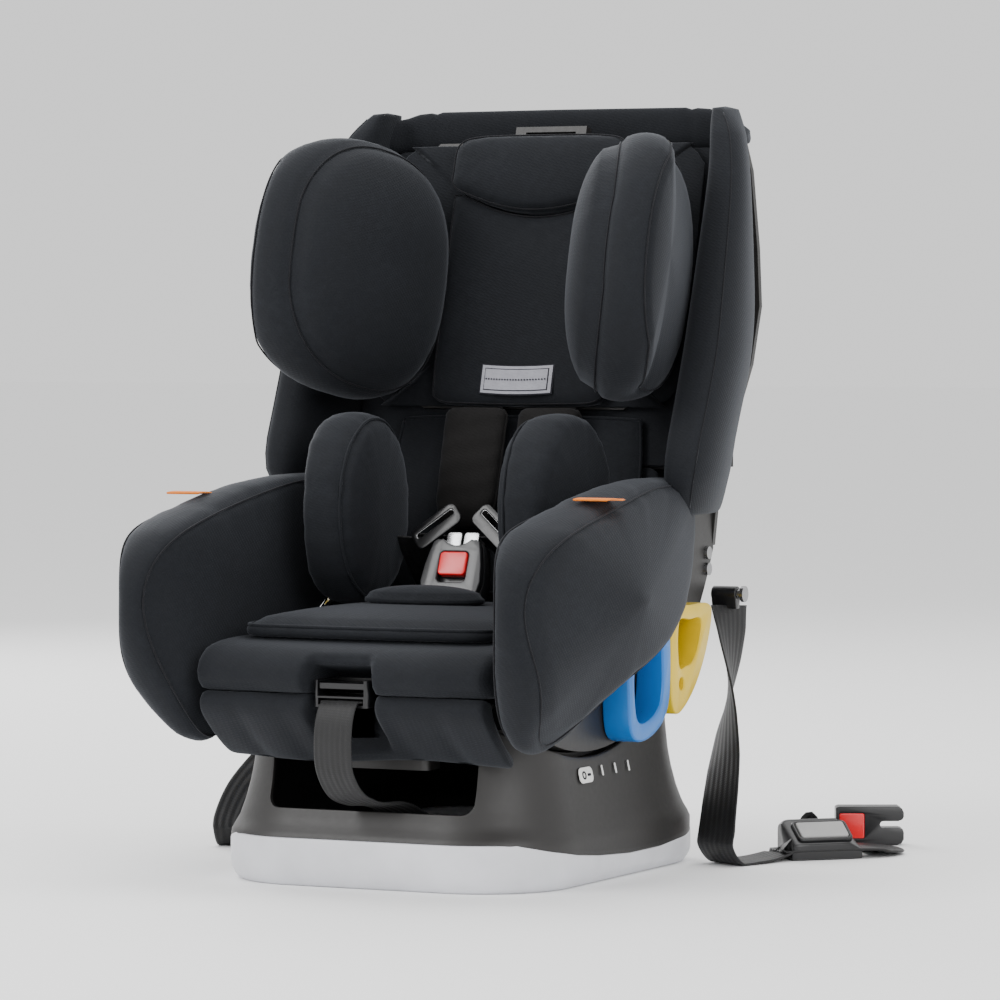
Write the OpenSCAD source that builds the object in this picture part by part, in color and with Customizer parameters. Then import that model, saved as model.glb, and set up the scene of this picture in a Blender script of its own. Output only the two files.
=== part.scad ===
// Convertible child car seat. Millimetres, +Z up, front towards -Y.
// The origin is the middle of the base's underside.

/* [Base] */
// Width of the base at its foot
base_w = 310; // [300:1:318]
// Depth of the base at its foot
base_d = 380; // [370:1:390]
// Height of the light band round the foot
skirt_h = 40; // [34:1:44]
// Height of the pedestal's rear rim
pedestal_h = 148; // [144:1:150]
// Wall of the pedestal
base_wall = 4; // [3:0.5:4.5]
// Width of the front opening
opening_w = 188; // [160:1:190]

/* [Recline] */
// Radius of the rocker under the shell
rocker_r = 277; // [276.5:0.1:277.2]
// Depth position of the recline axis
pivot_y = -45; // [-46:0.5:-44]
// Height of the recline axis
pivot_z = 385; // [384.5:0.1:385.5]
// Recline from upright, in degrees
recline_deg = 25; // [15:1:25]
// Number of recline positions
recline_steps = 4; // [3:1:4]

/* [Seat] */
// Width over the hip wings
seat_w = 450; // [446:1:454]
// Width of the plastic shell
shell_w = 280; // [279:0.5:280]
// Wall of the plastic shell
shell_wall = 5; // [4:0.5:5]
// Lean of the backrest from upright, in degrees
lean = 15; // [14.8:0.1:15.2]

/* [Headrest] */
// Width over the headrest's wings
head_w = 380; // [370:1:382]
// Headrest travel along the back
head_travel = 140; // [100:1:140]

/* [Straps] */
// Width of the anchor webbing
anchor_web_w = 45; // [38:1:45]
// Width of the harness webbing
harness_w = 38; // [32:1:38]
// Thickness of the webbing
web_t = 2; // [1.6:0.1:2.2]
// Diameter of the vehicle's anchor bar
anchor_bar_d = 6; // [6:0.1:6.1]

/* [Hidden] */
$fn = 64;

fabric = [0.13, 0.145, 0.17];
black = [0.07, 0.07, 0.075];
plastic = [0.19, 0.18, 0.175];
light_grey = [0.82, 0.82, 0.84];
mid_grey = [0.6, 0.6, 0.6];
steel = [0.72, 0.73, 0.75];
foam = [0.9, 0.9, 0.88];

gap = 0.5;
far = 900;
half_shell = shell_w / 2;
half_seat = seat_w / 2;
bight = [0, 78, 235];

// ---- Helpers ----

// A slab between two x positions, from an outline in (y, z)
module across(x0, x1) {
    translate([x0, 0, 0]) rotate([90, 0, 90]) linear_extrude(x1 - x0) children();
}

// A slab between two y positions, from an outline in (x, z)
module along(y0, y1) {
    translate([0, y1, 0]) rotate([90, 0, 0]) linear_extrude(y1 - y0) children();
}

// A slab between two heights, from an outline in (x, y)
module upward(z0, z1) {
    translate([0, 0, z0]) linear_extrude(z1 - z0) children();
}

module pair() {
    children();
    mirror([1, 0, 0]) children();
}

// Frame of the backrest: x across, y backwards out of its surface, z up along it
module on_back() {
    translate(bight) rotate([-lean, 0, 0]) children();
}

// A rounded rectangle with half sizes hx and hy
module rounded(hx, hy, r) {
    square([2 * hx, 2 * (hy - r)], center = true);
    square([2 * (hx - r), 2 * hy], center = true);
    for (x = [-1, 1], y = [-1, 1]) translate([x * (hx - r), y * (hy - r)]) circle(r);
}

// A rounded block, centred in x and y, standing on z = 0
module block(w, d, h, r = 2) {
    linear_extrude(h) rounded(w / 2, d / 2, r);
}

module box(lo, hi) {
    translate(lo) cube(hi - lo);
}

// The cylinder about the recline axis
module rocker(r, w) {
    translate([0, pivot_y, pivot_z]) rotate([0, 90, 0]) cylinder(r = r, h = w, center = true, $fn = 180);
}

// Places things on the rocker, at an angle from straight down, positive towards the rear.
// z points away from the recline axis there.
module on_rocker(angle) {
    translate([0, pivot_y, pivot_z]) rotate([180 + angle, 0, 0]) children();
}

// ---- Webbing ----

// A route is a list of [x, y, z, angle], the angle being that of the webbing's width from +X.
function web_width(p) = [cos(p[3]), sin(p[3]), 0];
function web_point(p) = [p[0], p[1], p[2]];
function web_tangent(r, i) =
    let (a = web_point(r[max(i - 1, 0)]), b = web_point(r[min(i + 1, len(r) - 1)])) (b - a) / norm(b - a);
function web_normal(r, i) = let (n = cross(web_tangent(r, i), web_width(r[i]))) n / norm(n);
function web_ring(r, i, w, t) =
    let (p = web_point(r[i]), a = web_width(r[i]) * w / 2, b = web_normal(r, i) * t / 2)
    [p + a - b / 2, p + a + b / 2, p + 0.95 * a + b, p - 0.95 * a + b,
     p - a + b / 2, p - a - b / 2, p - 0.95 * a - b, p + 0.95 * a - b];

module webbing(route, w, t) {
    n = len(route);
    sides = 8;
    points = [for (i = [0:n - 1]) each web_ring(route, i, w, t)];
    walls = [for (i = [0:n - 2], k = [0:sides - 1])
        [(i + 1) * sides + k, (i + 1) * sides + (k + 1) % sides, i * sides + (k + 1) % sides, i * sides + k]];
    first = [for (k = [0:sides - 1]) k];
    last = [for (k = [sides - 1:-1:0]) (n - 1) * sides + k];
    polyhedron(points, concat([first, last], walls), convexity = 4);
}

// Routes of the two lower anchor straps, then of the webbing beyond each adjuster
upper_right = [[154, 207, 216, 70], [156, 205, 200, 78], [160, 196, 178, 92], [166, 180, 150, 110],
    [173, 158, 118, 130], [180, 136, 85, 145], [184, 119, 55, 152], [185, 110, 30, 156], [185, 108, 16, 156]];
floor_right = [[190, 121, 2, 156], [198, 140, 2, 154], [206, 160, 3, 150], [214, 176, 6, 142], [218, 181, 8, 135]];
tail_right = [[268, 231, 8, 135], [278, 246, 5, 160], [277, 262, 3, 190], [264, 278, 3, 228], [240, 287, 3, 255],
    [214, 288, 3, 275], [197, 297, 5, 290], [190, 303, 9, 296], [194, 309.5, 13, 296], [207.5, 316, 14, 296]];
upper_left = [[-154, 207, 216, 110], [-157, 206, 198, 100], [-166, 198, 175, 80], [-184, 178, 145, 60],
    [-208, 148, 112, 42], [-232, 112, 80, 32], [-248, 82, 50, 28], [-254, 66, 26, 26], [-254, 63, 15, 26]];
floor_left = [[-259, 76, 2, 26], [-267, 96, 2, 26], [-275, 118, 3, 24], [-284, 138, 6, 20], [-289, 150, 8, 16]];
tail_left = [[-286, 222, 8, 0], [-282, 240, 4, -12], [-268, 258, 3, -50], [-252, 267, 4, -80], [-242.4, 268, 8, -90]];

// Routes of the shoulder webbing, the lap webbing and the adjuster strap's run under the seat
shoulder_route = [[35, 107.6, 384, 0], [35, 94.2, 334, 0], [35, 83, 292, 0], [35, 77, 276, 0], [34, 65.5, 267, 0],
    [33, 46, 262, 0], [31, 25, 270, 0], [29, 7, 281, 0]];
lap_route = [[46.5, 2, 279, 0], [48, 20, 260, 0], [49, 42, 238, 0], [49, 59, 222, 0]];

crotch_route = [[0, -36, 158, 0], [0, -36, 175, 0], [0, -36, 190, 0], [0, -35, 198, 0], [0, -30, 208, 0],
    [0, -21, 230.5, 0]];

// Route of the harness adjuster strap, which hangs from the front edge into the base's opening
adjuster_route = [[0, -224.5, 155.5, 0], [0, -230, 151, 0], [-1, -234, 138, 0], [-3, -232, 118, 0],
    [-5, -224, 98, 0], [-4, -208, 80, 4], [2, -192, 72, 10]];
inner_route = [[0, -223, 155.5, 0], [0, -180, 155.5, 0], [0, -156, 151, 0], [0, -142, 141, 0], [0, -120, 138, 0],
    [0, -60, 138, 0], [0, 0, 138, 0], [0, 60, 142, 0], [0, 88, 155, 0], [0, 107, 168, 0], [0, 126, 183, 0],
    [0, 142, 198, 0], [0, 157, 216, 0], [0, 165, 240, 0], [0, 167.5, 278, 0]];
tail_route = [[14, -172, 68, 16], [22, -156, 60, 20], [28, -140, 48, 22], [32, -128, 32, 22], [34, -120, 14, 22]];

// ---- Base ----

foot_r = 85;
waist = [135, 170, 75, 97];
rim = [132, 165, 72, pedestal_h];
plate_hx = base_w / 2 - 17;
plate_hy = base_d / 2 - 17;

module foot_slice(z, inset) {
    upward(z, z + 0.1) rounded(base_w / 2 - inset, base_d / 2 - inset, foot_r - inset);
}

module base_skirt() {
    color(light_grey) difference() {
        union() {
            hull() { foot_slice(0, 8); foot_slice(5, 3); }
            hull() { foot_slice(5, 3); foot_slice(16, 0); }
            upward(16, skirt_h) rounded(base_w / 2, base_d / 2, foot_r);
        }
        upward(-1, skirt_h + 1) rounded(plate_hx, plate_hy, foot_r - 17);
        across(-far, far) above_parting(0);
    }
}

// What lies above the line between the light band and the pedestal, in (y, z). The line dips along the sides.
module above_parting(lift) {
    line = [[-300, skirt_h], [-165, skirt_h], [-140, skirt_h - 6], [-100, skirt_h - 12.5], [-60, skirt_h - 16.5],
        [0, skirt_h - 20], [60, skirt_h - 20], [110, skirt_h - 16], [150, skirt_h - 10], [300, skirt_h - 6]];
    translate([0, lift]) polygon(concat(line, [[300, 100], [-300, 100]]));
}

module flare_slice(s, inset, z) {
    upward(z, z + 0.1) rounded(s[0] - inset, s[1] - inset, s[2] - inset);
}

module flare(inset) {
    foot = [base_w / 2 - 0.5, base_d / 2 - 0.5, foot_r];
    hull() { flare_slice(foot, inset, skirt_h + 0.2); flare_slice([142, 177, 79], inset, 66); }
    hull() { flare_slice([142, 177, 79], inset, 66); flare_slice(waist, inset, waist[3]); }
    hull() { flare_slice(waist, inset, waist[3]); flare_slice(rim, inset, rim[3]); }
}

module opening_outline() {
    r = 10;
    translate([-opening_w / 2, 63 + r]) square([opening_w, 120]);
    translate([-opening_w / 2 + r, 63]) square([opening_w - 2 * r, 120]);
    for (s = [-1, 1]) translate([s * (opening_w / 2 - r), 63 + r]) circle(r);
}

// The pedestal's lowest part, down to the light band
module foot_wall() {
    intersection() {
        difference() {
            upward(16, skirt_h + 0.3) rounded(base_w / 2 - 0.5, base_d / 2 - 0.5, foot_r);
            upward(10, skirt_h + 1) rounded(plate_hx, plate_hy, foot_r - 17);
        }
        across(-far, far) above_parting(0.2);
    }
}

module base_pedestal() {
    color(plastic) difference() {
        union() {
            flare(0);
            foot_wall();
        }
        flare(base_wall);
        upward(skirt_h - 1, skirt_h + 1) rounded(base_w / 2 - base_wall, base_d / 2 - base_wall, foot_r - base_wall);
        upward(rim[3] - 1, rim[3] + 1) rounded(rim[0] - base_wall, rim[1] - base_wall, rim[2] - base_wall);
        rocker(rocker_r + 6, 400);
        along(-230, -110) opening_outline();
    }
}

module screw_places() {
    for (x = [-1, 1], y = [-1, 1]) translate([x * 100, y * 130, 0]) children();
}

module base_floor_plate() {
    color(plastic) difference() {
        upward(0, 4) rounded(plate_hx - gap, plate_hy - gap, foot_r - 17.5);
        screw_places() translate([0, 0, -1]) cylinder(d = 10, h = 6);
    }
}

module base_screws() {
    color(steel) screw_places() {
        translate([0, 0, 1]) cylinder(d = 9.6, h = 2.5);
        translate([0, 0, 3.5]) cylinder(d = 4, h = 14);
    }
}

cradle_in = rocker_r + 1.5;
cradle_out = rocker_r + 5.5;
lock_angle = recline_deg / 2;

module recline_cradle() {
    color(plastic) difference() {
        intersection() {
            rocker(cradle_out, 2 * 127);
            box([-150, -130, 90], [150, 100, 146]);
        }
        rocker(cradle_in, 400);
        for (i = [0:recline_steps - 1])
            on_rocker(lock_angle - i * recline_deg / (recline_steps - 1))
                translate([-23, -6, cradle_in - 4]) cube([46, 12, 14]);
    }
}

module recline_scale_label() {
    color(light_grey) for (i = [0:recline_steps - 1])
        translate([137.1, -60 + 36 * i, 89]) rotate([0, -13, 0]) rotate([90, 0, 90])
            linear_extrude(0.8) rounded(i == 0 ? 14 : 5, 6.5, 2);
}

module adjuster_strap_tail() {
    color(black) webbing(tail_route, harness_w, web_t);
}

// ---- Shell ----

shell_rear = 205;

// The bucket's outline in (y, z). It grows upwards where lift is above 0.
module bucket_outline(inset, lift) {
    intersection() {
        translate([pivot_y, pivot_z]) circle(rocker_r - inset, $fn = 180);
        polygon([[-158 + inset, 100], [shell_rear - inset, 100], [shell_rear - inset, 335 + lift],
            [125 + inset, 335 + lift], [20 + inset, 222 + lift], [-158 + inset, 158 + lift]]);
    }
}

// The rear panel's outline in (x, z)
module panel_outline() {
    for (s = [-1, 1]) scale([s, 1])
        polygon([[0, 268], [half_shell, 268], [147, 334], [161, 377], [176, 425], [184, 475], [182, 525],
            [176, 592], [168, 624], [150, 638], [0, 638]]);
}

module seat_shell() {
    color(plastic) difference() {
        union() {
            difference() {
                across(-half_shell, half_shell) bucket_outline(0, 0);
                across(-half_shell + shell_wall, half_shell - shell_wall) bucket_outline(shell_wall, 200);
            }
            along(shell_rear - 2, shell_rear + 4) panel_outline();
            pair() box([26, -208, 153.5], [128, -154, 157]);
            for (x = [-110, -60, 60, 110])
                box([x - 3, shell_rear + 3, 290], [x + 3, shell_rear + 9, 600]);
            box([-130, shell_rear + 3, 300], [130, shell_rear + 8, 308]);
            box([-130, shell_rear + 3, 400], [130, shell_rear + 8, 408]);
        }
        box([-22, -170, 146], [22, -150, 200]);
        box([-52, shell_rear - 10, 430], [52, shell_rear + 20, 590]);
        box([-40, shell_rear - 10, 330], [40, shell_rear + 20, 380]);
        on_rocker(lock_angle) translate([-21, -6, rocker_r - 20]) cube([42, 12, 40]);
        across(-300, 300) belt_slot();
        across(-300, 300) translate([86, 30]) belt_slot();
        pair() translate([shell_w / 2 - 20, 190, 262]) rotate([0, 90, 0]) cylinder(d = 5, h = 40);
        pair() translate([shell_w / 2 - 20, 190, 248]) rotate([0, 90, 0]) cylinder(d = 5, h = 40);
    }
}

// The belt's way through the shell behind each guide, in (y, z)
module belt_slot() {
    translate([14, 162]) rounded(20, 20, 8);
}

module shell_screws() {
    color(steel) pair() for (z = [248, 262]) translate([0, 190, z]) rotate([0, 90, 0]) {
        translate([0, 0, half_shell - shell_wall]) cylinder(d = 4.8, h = shell_wall + 0.2);
        translate([0, 0, half_shell + 0.1]) cylinder(d = 11, h = 3);
    }
}

module recline_handle() {
    color(plastic) difference() {
        translate([0, -150, 97]) block(96, 26, 11, 6);
        translate([0, -148, 90]) linear_extrude(30) rounded(36, 6, 4);
    }
}

module recline_lock_bar() {
    color(steel) on_rocker(lock_angle) translate([0, 0, rocker_r - 12]) block(40, 9, 13, 1);
}

// A belt guide: a closed loop on the shell's side, from an outline and an eye in (y, z)
module rear_facing_guides() {
    color([0.12, 0.55, 0.85]) pair() difference() {
        across(half_shell + gap, half_shell + 26)
            polygon([[-26, 186], [52, 210], [56, 150], [44, 128], [20, 116], [-8, 114], [-24, 128]]);
        across(half_shell - 1, half_shell + 30)
            polygon([[-12, 178], [38, 196], [41, 152], [33, 138], [14, 130], [-4, 129], [-12, 138]]);
    }
}

module forward_facing_guides() {
    color([0.92, 0.82, 0.1]) pair() difference() {
        across(half_shell + gap, half_shell + 26)
            polygon([[68, 222], [140, 222], [142, 206], [128, 176], [104, 146], [72, 130], [60, 140], [60, 206]]);
        across(half_shell - 1, half_shell + 30)
            polygon([[74, 210], [122, 210], [120, 196], [106, 172], [74, 170]]);
        across(half_shell - 1, half_shell + 30) translate([80, 156]) circle(5);
    }
}

module strap_anchor_bars() {
    color(steel) pair() {
        translate([half_shell + gap, 207, 226]) rotate([0, 90, 0]) cylinder(d = 8, h = 26);
        translate([half_shell + 26 + gap, 207, 226]) rotate([0, 90, 0]) cylinder(d = 14, h = 3);
    }
}

// ---- Foam and covers ----

// The space in front of the shell's rear panel and inside its rocker
module inside_shell() {
    intersection() {
        across(-half_shell + shell_wall + gap, half_shell - shell_wall - gap) bucket_outline(shell_wall + gap, 0);
        box([-far, -far, 0], [far, shell_rear - shell_wall - gap, 334]);
    }
}

module seat_foam() {
    color(foam) difference() {
        intersection() {
            inside_shell();
            box([-far, -140, 100], [far, 60, 157]);
        }
        box([-30, -200, 90], [30, 100, 145]);
        on_rocker(lock_angle) translate([-24, -9, rocker_r - 50]) cube([48, 18, 50]);
    }
}

back_slot = [28, 165, 389];

module back_foam() {
    color(foam) difference() {
        union() {
            intersection() {
                inside_shell();
                on_back() box([-far, 7, -90], [far, far, 120]);
                box([-far, 62, 160], [far, far, 334]);
            }
            intersection() {
                on_back() box([-160, 7, 90], [160, far, 391]);
                box([-far, 0, 336.5], [far, shell_rear - 3, far]);
            }
        }
        on_back() box([-52, 6, 155], [52, 14, 395]);
        box([-34, 60, 130], [34, 176, 225]);
        box([-34, 155, 150], [34, 180, 400]);
    }
}

module back_cover() {
    color(fabric) difference() {
        on_back() box([-160, 0.5, 108], [160, 6.5, 391]);
        on_back() box([-back_slot[0], -5, back_slot[1]], [back_slot[0], 20, back_slot[2]]);
    }
    color(fabric) on_back() box([-134, 0.5, -72], [134, 6.5, 107]);
}

module top_border() {
    color(fabric) intersection() {
        on_back() box([-198, 0.8, 392], [198, 60, 432]);
        along(100, shell_rear - 2.5)
            polygon([[-188, 600], [-184, 626], [-150, 648], [150, 648], [184, 626], [188, 600]]);
    }
}

// The padded side of the back, its outline in (y, z) crossed with one in (x, y)
module back_bolsters() {
    color(fabric) pair() intersection() {
        across(163, half_seat)
            polygon([[8, 334], [200, 336], [201, 600], [170, 612], [128, 606], [84, 510], [40, 414]]);
        upward(300, 640)
            polygon([[161, -10], [190, -10], [220, 20], [221, 45], [208, 110], [192, 165], [183, 202], [163, 202]]);
        along(-50, 230) polygon([[161, 300], [222, 330], [222, 400], [212, 500], [196, 612], [161, 620]]);
    }
}

module hip_wings() {
    color(fabric) pair() intersection() {
        across(131, half_seat)
            polygon([[-176, 104], [-214, 122], [-250, 165], [-276, 215], [-280, 245], [-268, 275], [-240, 294],
                [-130, 315], [-20, 332], [60, 332], [112, 328], [96, 290], [60, 240], [4, 200], [-60, 178],
                [-125, 153], [-160, 112]]);
        upward(90, 340)
            polygon([[131, -225], [150, -272], [180, -282], [208, -262], [222, -215], [half_seat, -170],
                [222, -80], [212, 20], [196, 80], [180, 115], [141, 115], [141, -160], [131, -162]]);
        along(-300, 150)
            polygon([[131, 96], [158, 100], [190, 130], [216, 175], [half_seat, 220], [half_seat, 270],
                [212, 320], [190, 335], [141.5, 335], [141.5, 158], [131, 156]]);
    }
}

module seat_cushion() {
    color(fabric) difference() {
        across(-134, 134)
            polygon([[-226, 162], [-229, 176], [-222, 192], [-200, 202], [-100, 202], [58, 199], [56, 160.5],
                [-150, 160.5], [-200, 160.5]]);
        translate([0, -213, 150]) block(56, 64, 32, 8);
        upward(150, 210) translate([0, -36]) square([46, 12], center = true);
    }
}

// The cover hanging down from the cushion's front edge
module front_apron() {
    color(fabric) difference() {
        across(-129, 129)
            polygon([[-225, 160.5], [-221, 147], [-206, 128], [-178, 107], [-168, 104], [-168, 112],
                [-197, 134], [-210, 150], [-213, 159]]);
        translate([0, -214, 140]) block(56, 60, 60, 8);
    }
}

module seat_insert_pad() {
    color(fabric) difference() {
        across(-122, 122)
            polygon([[-190, 205], [-195, 214], [-188, 224], [-150, 227], [40, 222], [54, 214], [54, 204],
                [-100, 203]]);
        upward(190, 240) translate([0, -24]) square([64, 44], center = true);
    }
}

module back_insert_pad() {
    color(fabric) on_back() box([-120, -8, -8], [120, 0, 150]);
}

module side_insert_pads() {
    color(fabric) pair() intersection() {
        across(71, 121) translate([-15, 306]) scale([1, 1.25]) circle(62);
        upward(229, 400) polygon([[76, -78], [100, -84], [118, -70], [120, 46], [72, 46], [71, -50]]);
    }
}

module crotch_pad() {
    color(fabric) translate([0, -74, 227.5]) linear_extrude(14) scale([1.7, 0.8]) circle(32);
}

// ---- Harness ----

buckle_pos = [0, -26, 218];
buckle_tilt = 22;
module on_buckle() {
    translate(buckle_pos) rotate([-buckle_tilt, 0, 0]) children();
}

module crotch_strap() {
    color(black) webbing(crotch_route, harness_w - 4, web_t);
}

// The outline of the buckle's face: two legs below, a scooped head above
module buckle_face() {
    difference() {
        polygon([[-24, 6], [-28, 22], [-22, 58], [-16, 62], [16, 62], [22, 58], [28, 22], [24, 6]]);
        translate([-17, 0]) square([34, 15]);
        translate([0, 74]) circle(17);
    }
}

module buckle_housing() {
    color([0.35, 0.35, 0.36]) on_buckle() difference() {
        along(-11, 11) buckle_face();
        box([-13.3, -20, 23.7], [13.3, -3, 50.3]);
        box([-13.3, -3, 16], [13.3, 6, 55]);
        box([-16, -2.2, 50], [16, 2.2, 80]);
    }
}

module buckle_button() {
    color([0.9, 0.12, 0.14]) on_buckle() box([-13, -12, 29], [13, -4, 50]);
}

module buckle_latch() {
    color(steel) on_buckle() box([-10, -2.8, 34], [10, -0.8, 48]);
}

module buckle_spring() {
    color(steel) on_buckle() translate([0, 1.5, 17]) cylinder(d = 5, h = 14);
}

module buckle_tongues() {
    color(steel) on_buckle() pair() {
        box([1, -1, 51], [15, 1, 70]);
        translate([22, 0, 70]) rotate([0, 40, 0]) difference() {
            translate([0, 0, 8]) cube([46, 3, 20], center = true);
            translate([0, 0, 10]) cube([39, 4, 5], center = true);
        }
    }
}

// Shoulder and lap webbing, from the headrest down to the tongues and out to the seat's sides
module harness_webbing() {
    color(black) pair() {
        webbing(shoulder_route, harness_w, web_t);
        webbing(lap_route, harness_w, web_t);
    }
    color(black) webbing(inner_route, harness_w, web_t);
}

module chest_pads() {
    color(black) pair() on_back() translate([35, 0, 0]) hull() {
        box([-25, -24, 150 - 8], [25, -12, 151]);
        box([-26, -32, 60], [26, -12, 70]);
        box([-20, -28, 46], [20, -12, 50]);
    }
}

module harness_yoke() {
    color(steel) translate([0, 168, 300]) difference() {
        translate([-25, -1.5, -20]) cube([50, 3, 40]);
        for (x = [-12, 12]) translate([x - 9, -3, 4]) cube([18, 6, 5]);
        translate([-20, -3, -12]) cube([40, 6, 5]);
    }
}

// The axle of the harness adjuster's lever
module adjuster_axle(r, length) {
    translate([-length / 2, -200, 166]) rotate([0, 90, 0]) cylinder(r = r, h = length);
}

module adjuster_housing() {
    color(plastic) difference() {
        translate([0, -204, 151]) block(50, 40, 22, 4);
        box([-21, -300, 160], [21, -190, 190]);
        box([-20.5, -300, 153], [20.5, -100, 158.5]);
        adjuster_axle(2.05, 80);
    }
}

module adjuster_pin() {
    color(steel) adjuster_axle(2, 49);
}

module adjuster_lever() {
    color(mid_grey) difference() {
        union() {
            adjuster_axle(4.5, 40);
            box([-20, -222, 166], [20, -200, 170.5]);
        }
        adjuster_axle(2.05, 80);
    }
}

module adjuster_strap() {
    color(black) webbing(adjuster_route, harness_w, web_t);
}

// ---- Headrest ----

head_lo = 156;
head_hi = 396;
rack_step = 22;

module headrest_shell() {
    color(plastic) on_back() difference() {
        along(-5, -1) polygon([[-110, head_lo + 10], [-96, head_lo], [96, head_lo], [110, head_lo + 10],
            [132, 200], [138, 280], [132, 370], [110, head_hi], [-110, head_hi], [-132, 370],
            [-138, 280], [-132, 200]]);
        for (x = [-1, 1]) box([x * 35 - 21, -10, 176], [x * 35 + 21, 0, 181]);
    }
}

module headrest_carriage() {
    color(plastic) on_back() difference() {
        union() {
            box([-26, -0.9, 170], [26, 8, 245]);
            box([-44, 7.4, 165], [44, 12.4, 248]);
        }
        box([22, 7, 203.5], [50, 13, 214.5]);
    }
}

module headrest_pad() {
    color(fabric) on_back() along(-24, -5.5)
        polygon([[-80, head_lo + 4], [-70, head_lo], [70, head_lo], [80, head_lo + 4], [84, 250],
            [84, 346], [40, 330], [0, 325], [-40, 330], [-84, 346], [-84, 250]]);
}

module headrest_pillow() {
    color(fabric) on_back() along(-34, -5.5)
        polygon([[-84, 347.5], [-40, 331.5], [0, 326.5], [40, 331.5], [84, 347.5], [84, 384], [74, 396],
            [-74, 396], [-84, 384]]);
}

// A headrest wing: an oval from the side, a wedge from above
module headrest_wings() {
    color(fabric) pair() on_back() intersection() {
        across(70, head_w / 2) translate([-96, 257]) scale([1, 1.27]) circle(94);
        upward(100, 420)
            polygon([[85, -6], [158, -6], [159, -96], [head_w / 2 - 4, -104], [head_w / 2, -140],
                [176, -180], [160, -190], [142, -182], [126, -120], [98, -40]]);
    }
}

module headrest_label() {
    color(mid_grey) on_back() box([-35, -24.8, 164], [35, -24.2, 190]);
}

module headrest_release() {
    color(plastic) on_back() difference() {
        box([-34, -12, head_hi + 1], [34, -2, head_hi + 12]);
        box([-24, -13, head_hi], [24, -6, head_hi + 7]);
    }
}

module headrest_lock_bolt() {
    color(steel) on_back() box([26, 8.5, 204], [45.6, 11.5, 214]);
}

module headrest_rack() {
    color(steel) on_back() difference() {
        box([46.2, 8, 168], [51, 12, 386]);
        for (i = [0:floor((head_travel + 40) / rack_step)])
            box([45, 7, 176 + rack_step * i], [49.5, 13, 188 + rack_step * i]);
    }
}

// ---- Anchor straps, adjusters and connectors ----

module anchor_straps_upper() {
    color(black) webbing(upper_right, anchor_web_w, web_t);
    color(black) webbing(upper_left, anchor_web_w, web_t);
}

module anchor_strap_lower_right() {
    color(black) webbing(floor_right, anchor_web_w * 0.8, web_t);
    color(black) webbing(tail_right, anchor_web_w * 0.8, web_t);
}

module anchor_strap_lower_left() {
    color(black) webbing(floor_left, anchor_web_w * 0.8, web_t);
    color(black) webbing(tail_left, anchor_web_w * 0.8, web_t);
}

// A strap adjuster's frame: x along its strap, y across, z up
adjuster_right = [240, 205, 45];
adjuster_left = [-288, 186, 90];
module on_adjuster(place) {
    translate([place[0], place[1], 0]) rotate([0, 0, place[2]]) children();
}

// The sloping face that carries the button
module on_adjuster_face(side) {
    scale([1, side, 1]) translate([0, -5, 23]) rotate([33, 0, 0]) children();
}

module strap_adjuster(side) {
    difference() {
        scale([1, side, 1]) across(-32, 32)
            polygon([[-19, 0.5], [19, 0.5], [19, 30], [14, 33], [10, 33], [-19, 14]]);
        on_adjuster_face(side) translate([0, 0, -6]) block(45, 21, 20, 3);
        box([-40, -18.2, 5], [40, 18.2, 10.5]);
    }
}

module strap_adjusters() {
    color(plastic) on_adjuster(adjuster_right) strap_adjuster(1);
    color(plastic) on_adjuster(adjuster_left) strap_adjuster(-1);
}

module strap_button(side) {
    color(mid_grey) on_adjuster_face(side) translate([0, 0, -1.5]) block(44, 20, 5, 2.5);
}

module strap_button_right() {
    on_adjuster(adjuster_right) strap_button(1);
}

module strap_button_left() {
    on_adjuster(adjuster_left) strap_button(-1);
}

// A connector's frame: x towards the jaw, y across, z up
connector_right = [236, 330, 26];
connector_left = [-212, 268, 0];
connector_h = 34;
jaw_x = 12;
jaw_z = 18;
jaw_r = anchor_bar_d / 2 + 0.1;
module on_connector(place) {
    translate([place[0], place[1], 0.5]) rotate([0, 0, place[2]]) children();
}

module connector() {
    color(plastic) difference() {
        across(-30, 30)
            polygon([[-11, 2], [-9, 0], [9, 0], [11, 2], [11, connector_h - 3], [8, connector_h],
                [-8, connector_h], [-11, connector_h - 3]]);
        box([jaw_x, -20, jaw_z - jaw_r], [40, 20, jaw_z + jaw_r]);
        translate([jaw_x, 0, jaw_z]) rotate([90, 0, 0]) cylinder(r = jaw_r, h = 40, center = true);
        box([-27.2, -20, 5.8], [-4.8, -5, 28.2]);
        box([16, -2.6, 3], [23, 2.6, jaw_z]);
    }
}

module anchor_connectors() {
    on_connector(connector_right) connector();
    on_connector(connector_left) connector();
}

module connector_button() {
    color([0.9, 0.12, 0.14]) box([-27, -12.5, 6], [-5, -9, 28]);
}

module connector_button_right() {
    on_connector(connector_right) connector_button();
}

module connector_button_left() {
    on_connector(connector_left) connector_button();
}

module connector_latch() {
    color(steel) box([16.3, -2.4, 4], [22.7, 2.4, 13.5]);
}

module connector_latch_right() {
    on_connector(connector_right) connector_latch();
}

module connector_latch_left() {
    on_connector(connector_left) connector_latch();
}

// Small fabric tags sewn into the seams
module cover_tags() {
    color([0.9, 0.45, 0.1]) pair() translate([184, -128, 318.5]) block(24, 30, 3, 2);
    color([0.4, 0.65, 0.65]) translate([-95, -12, 385.5]) block(13, 3, 11, 1);
}

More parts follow.
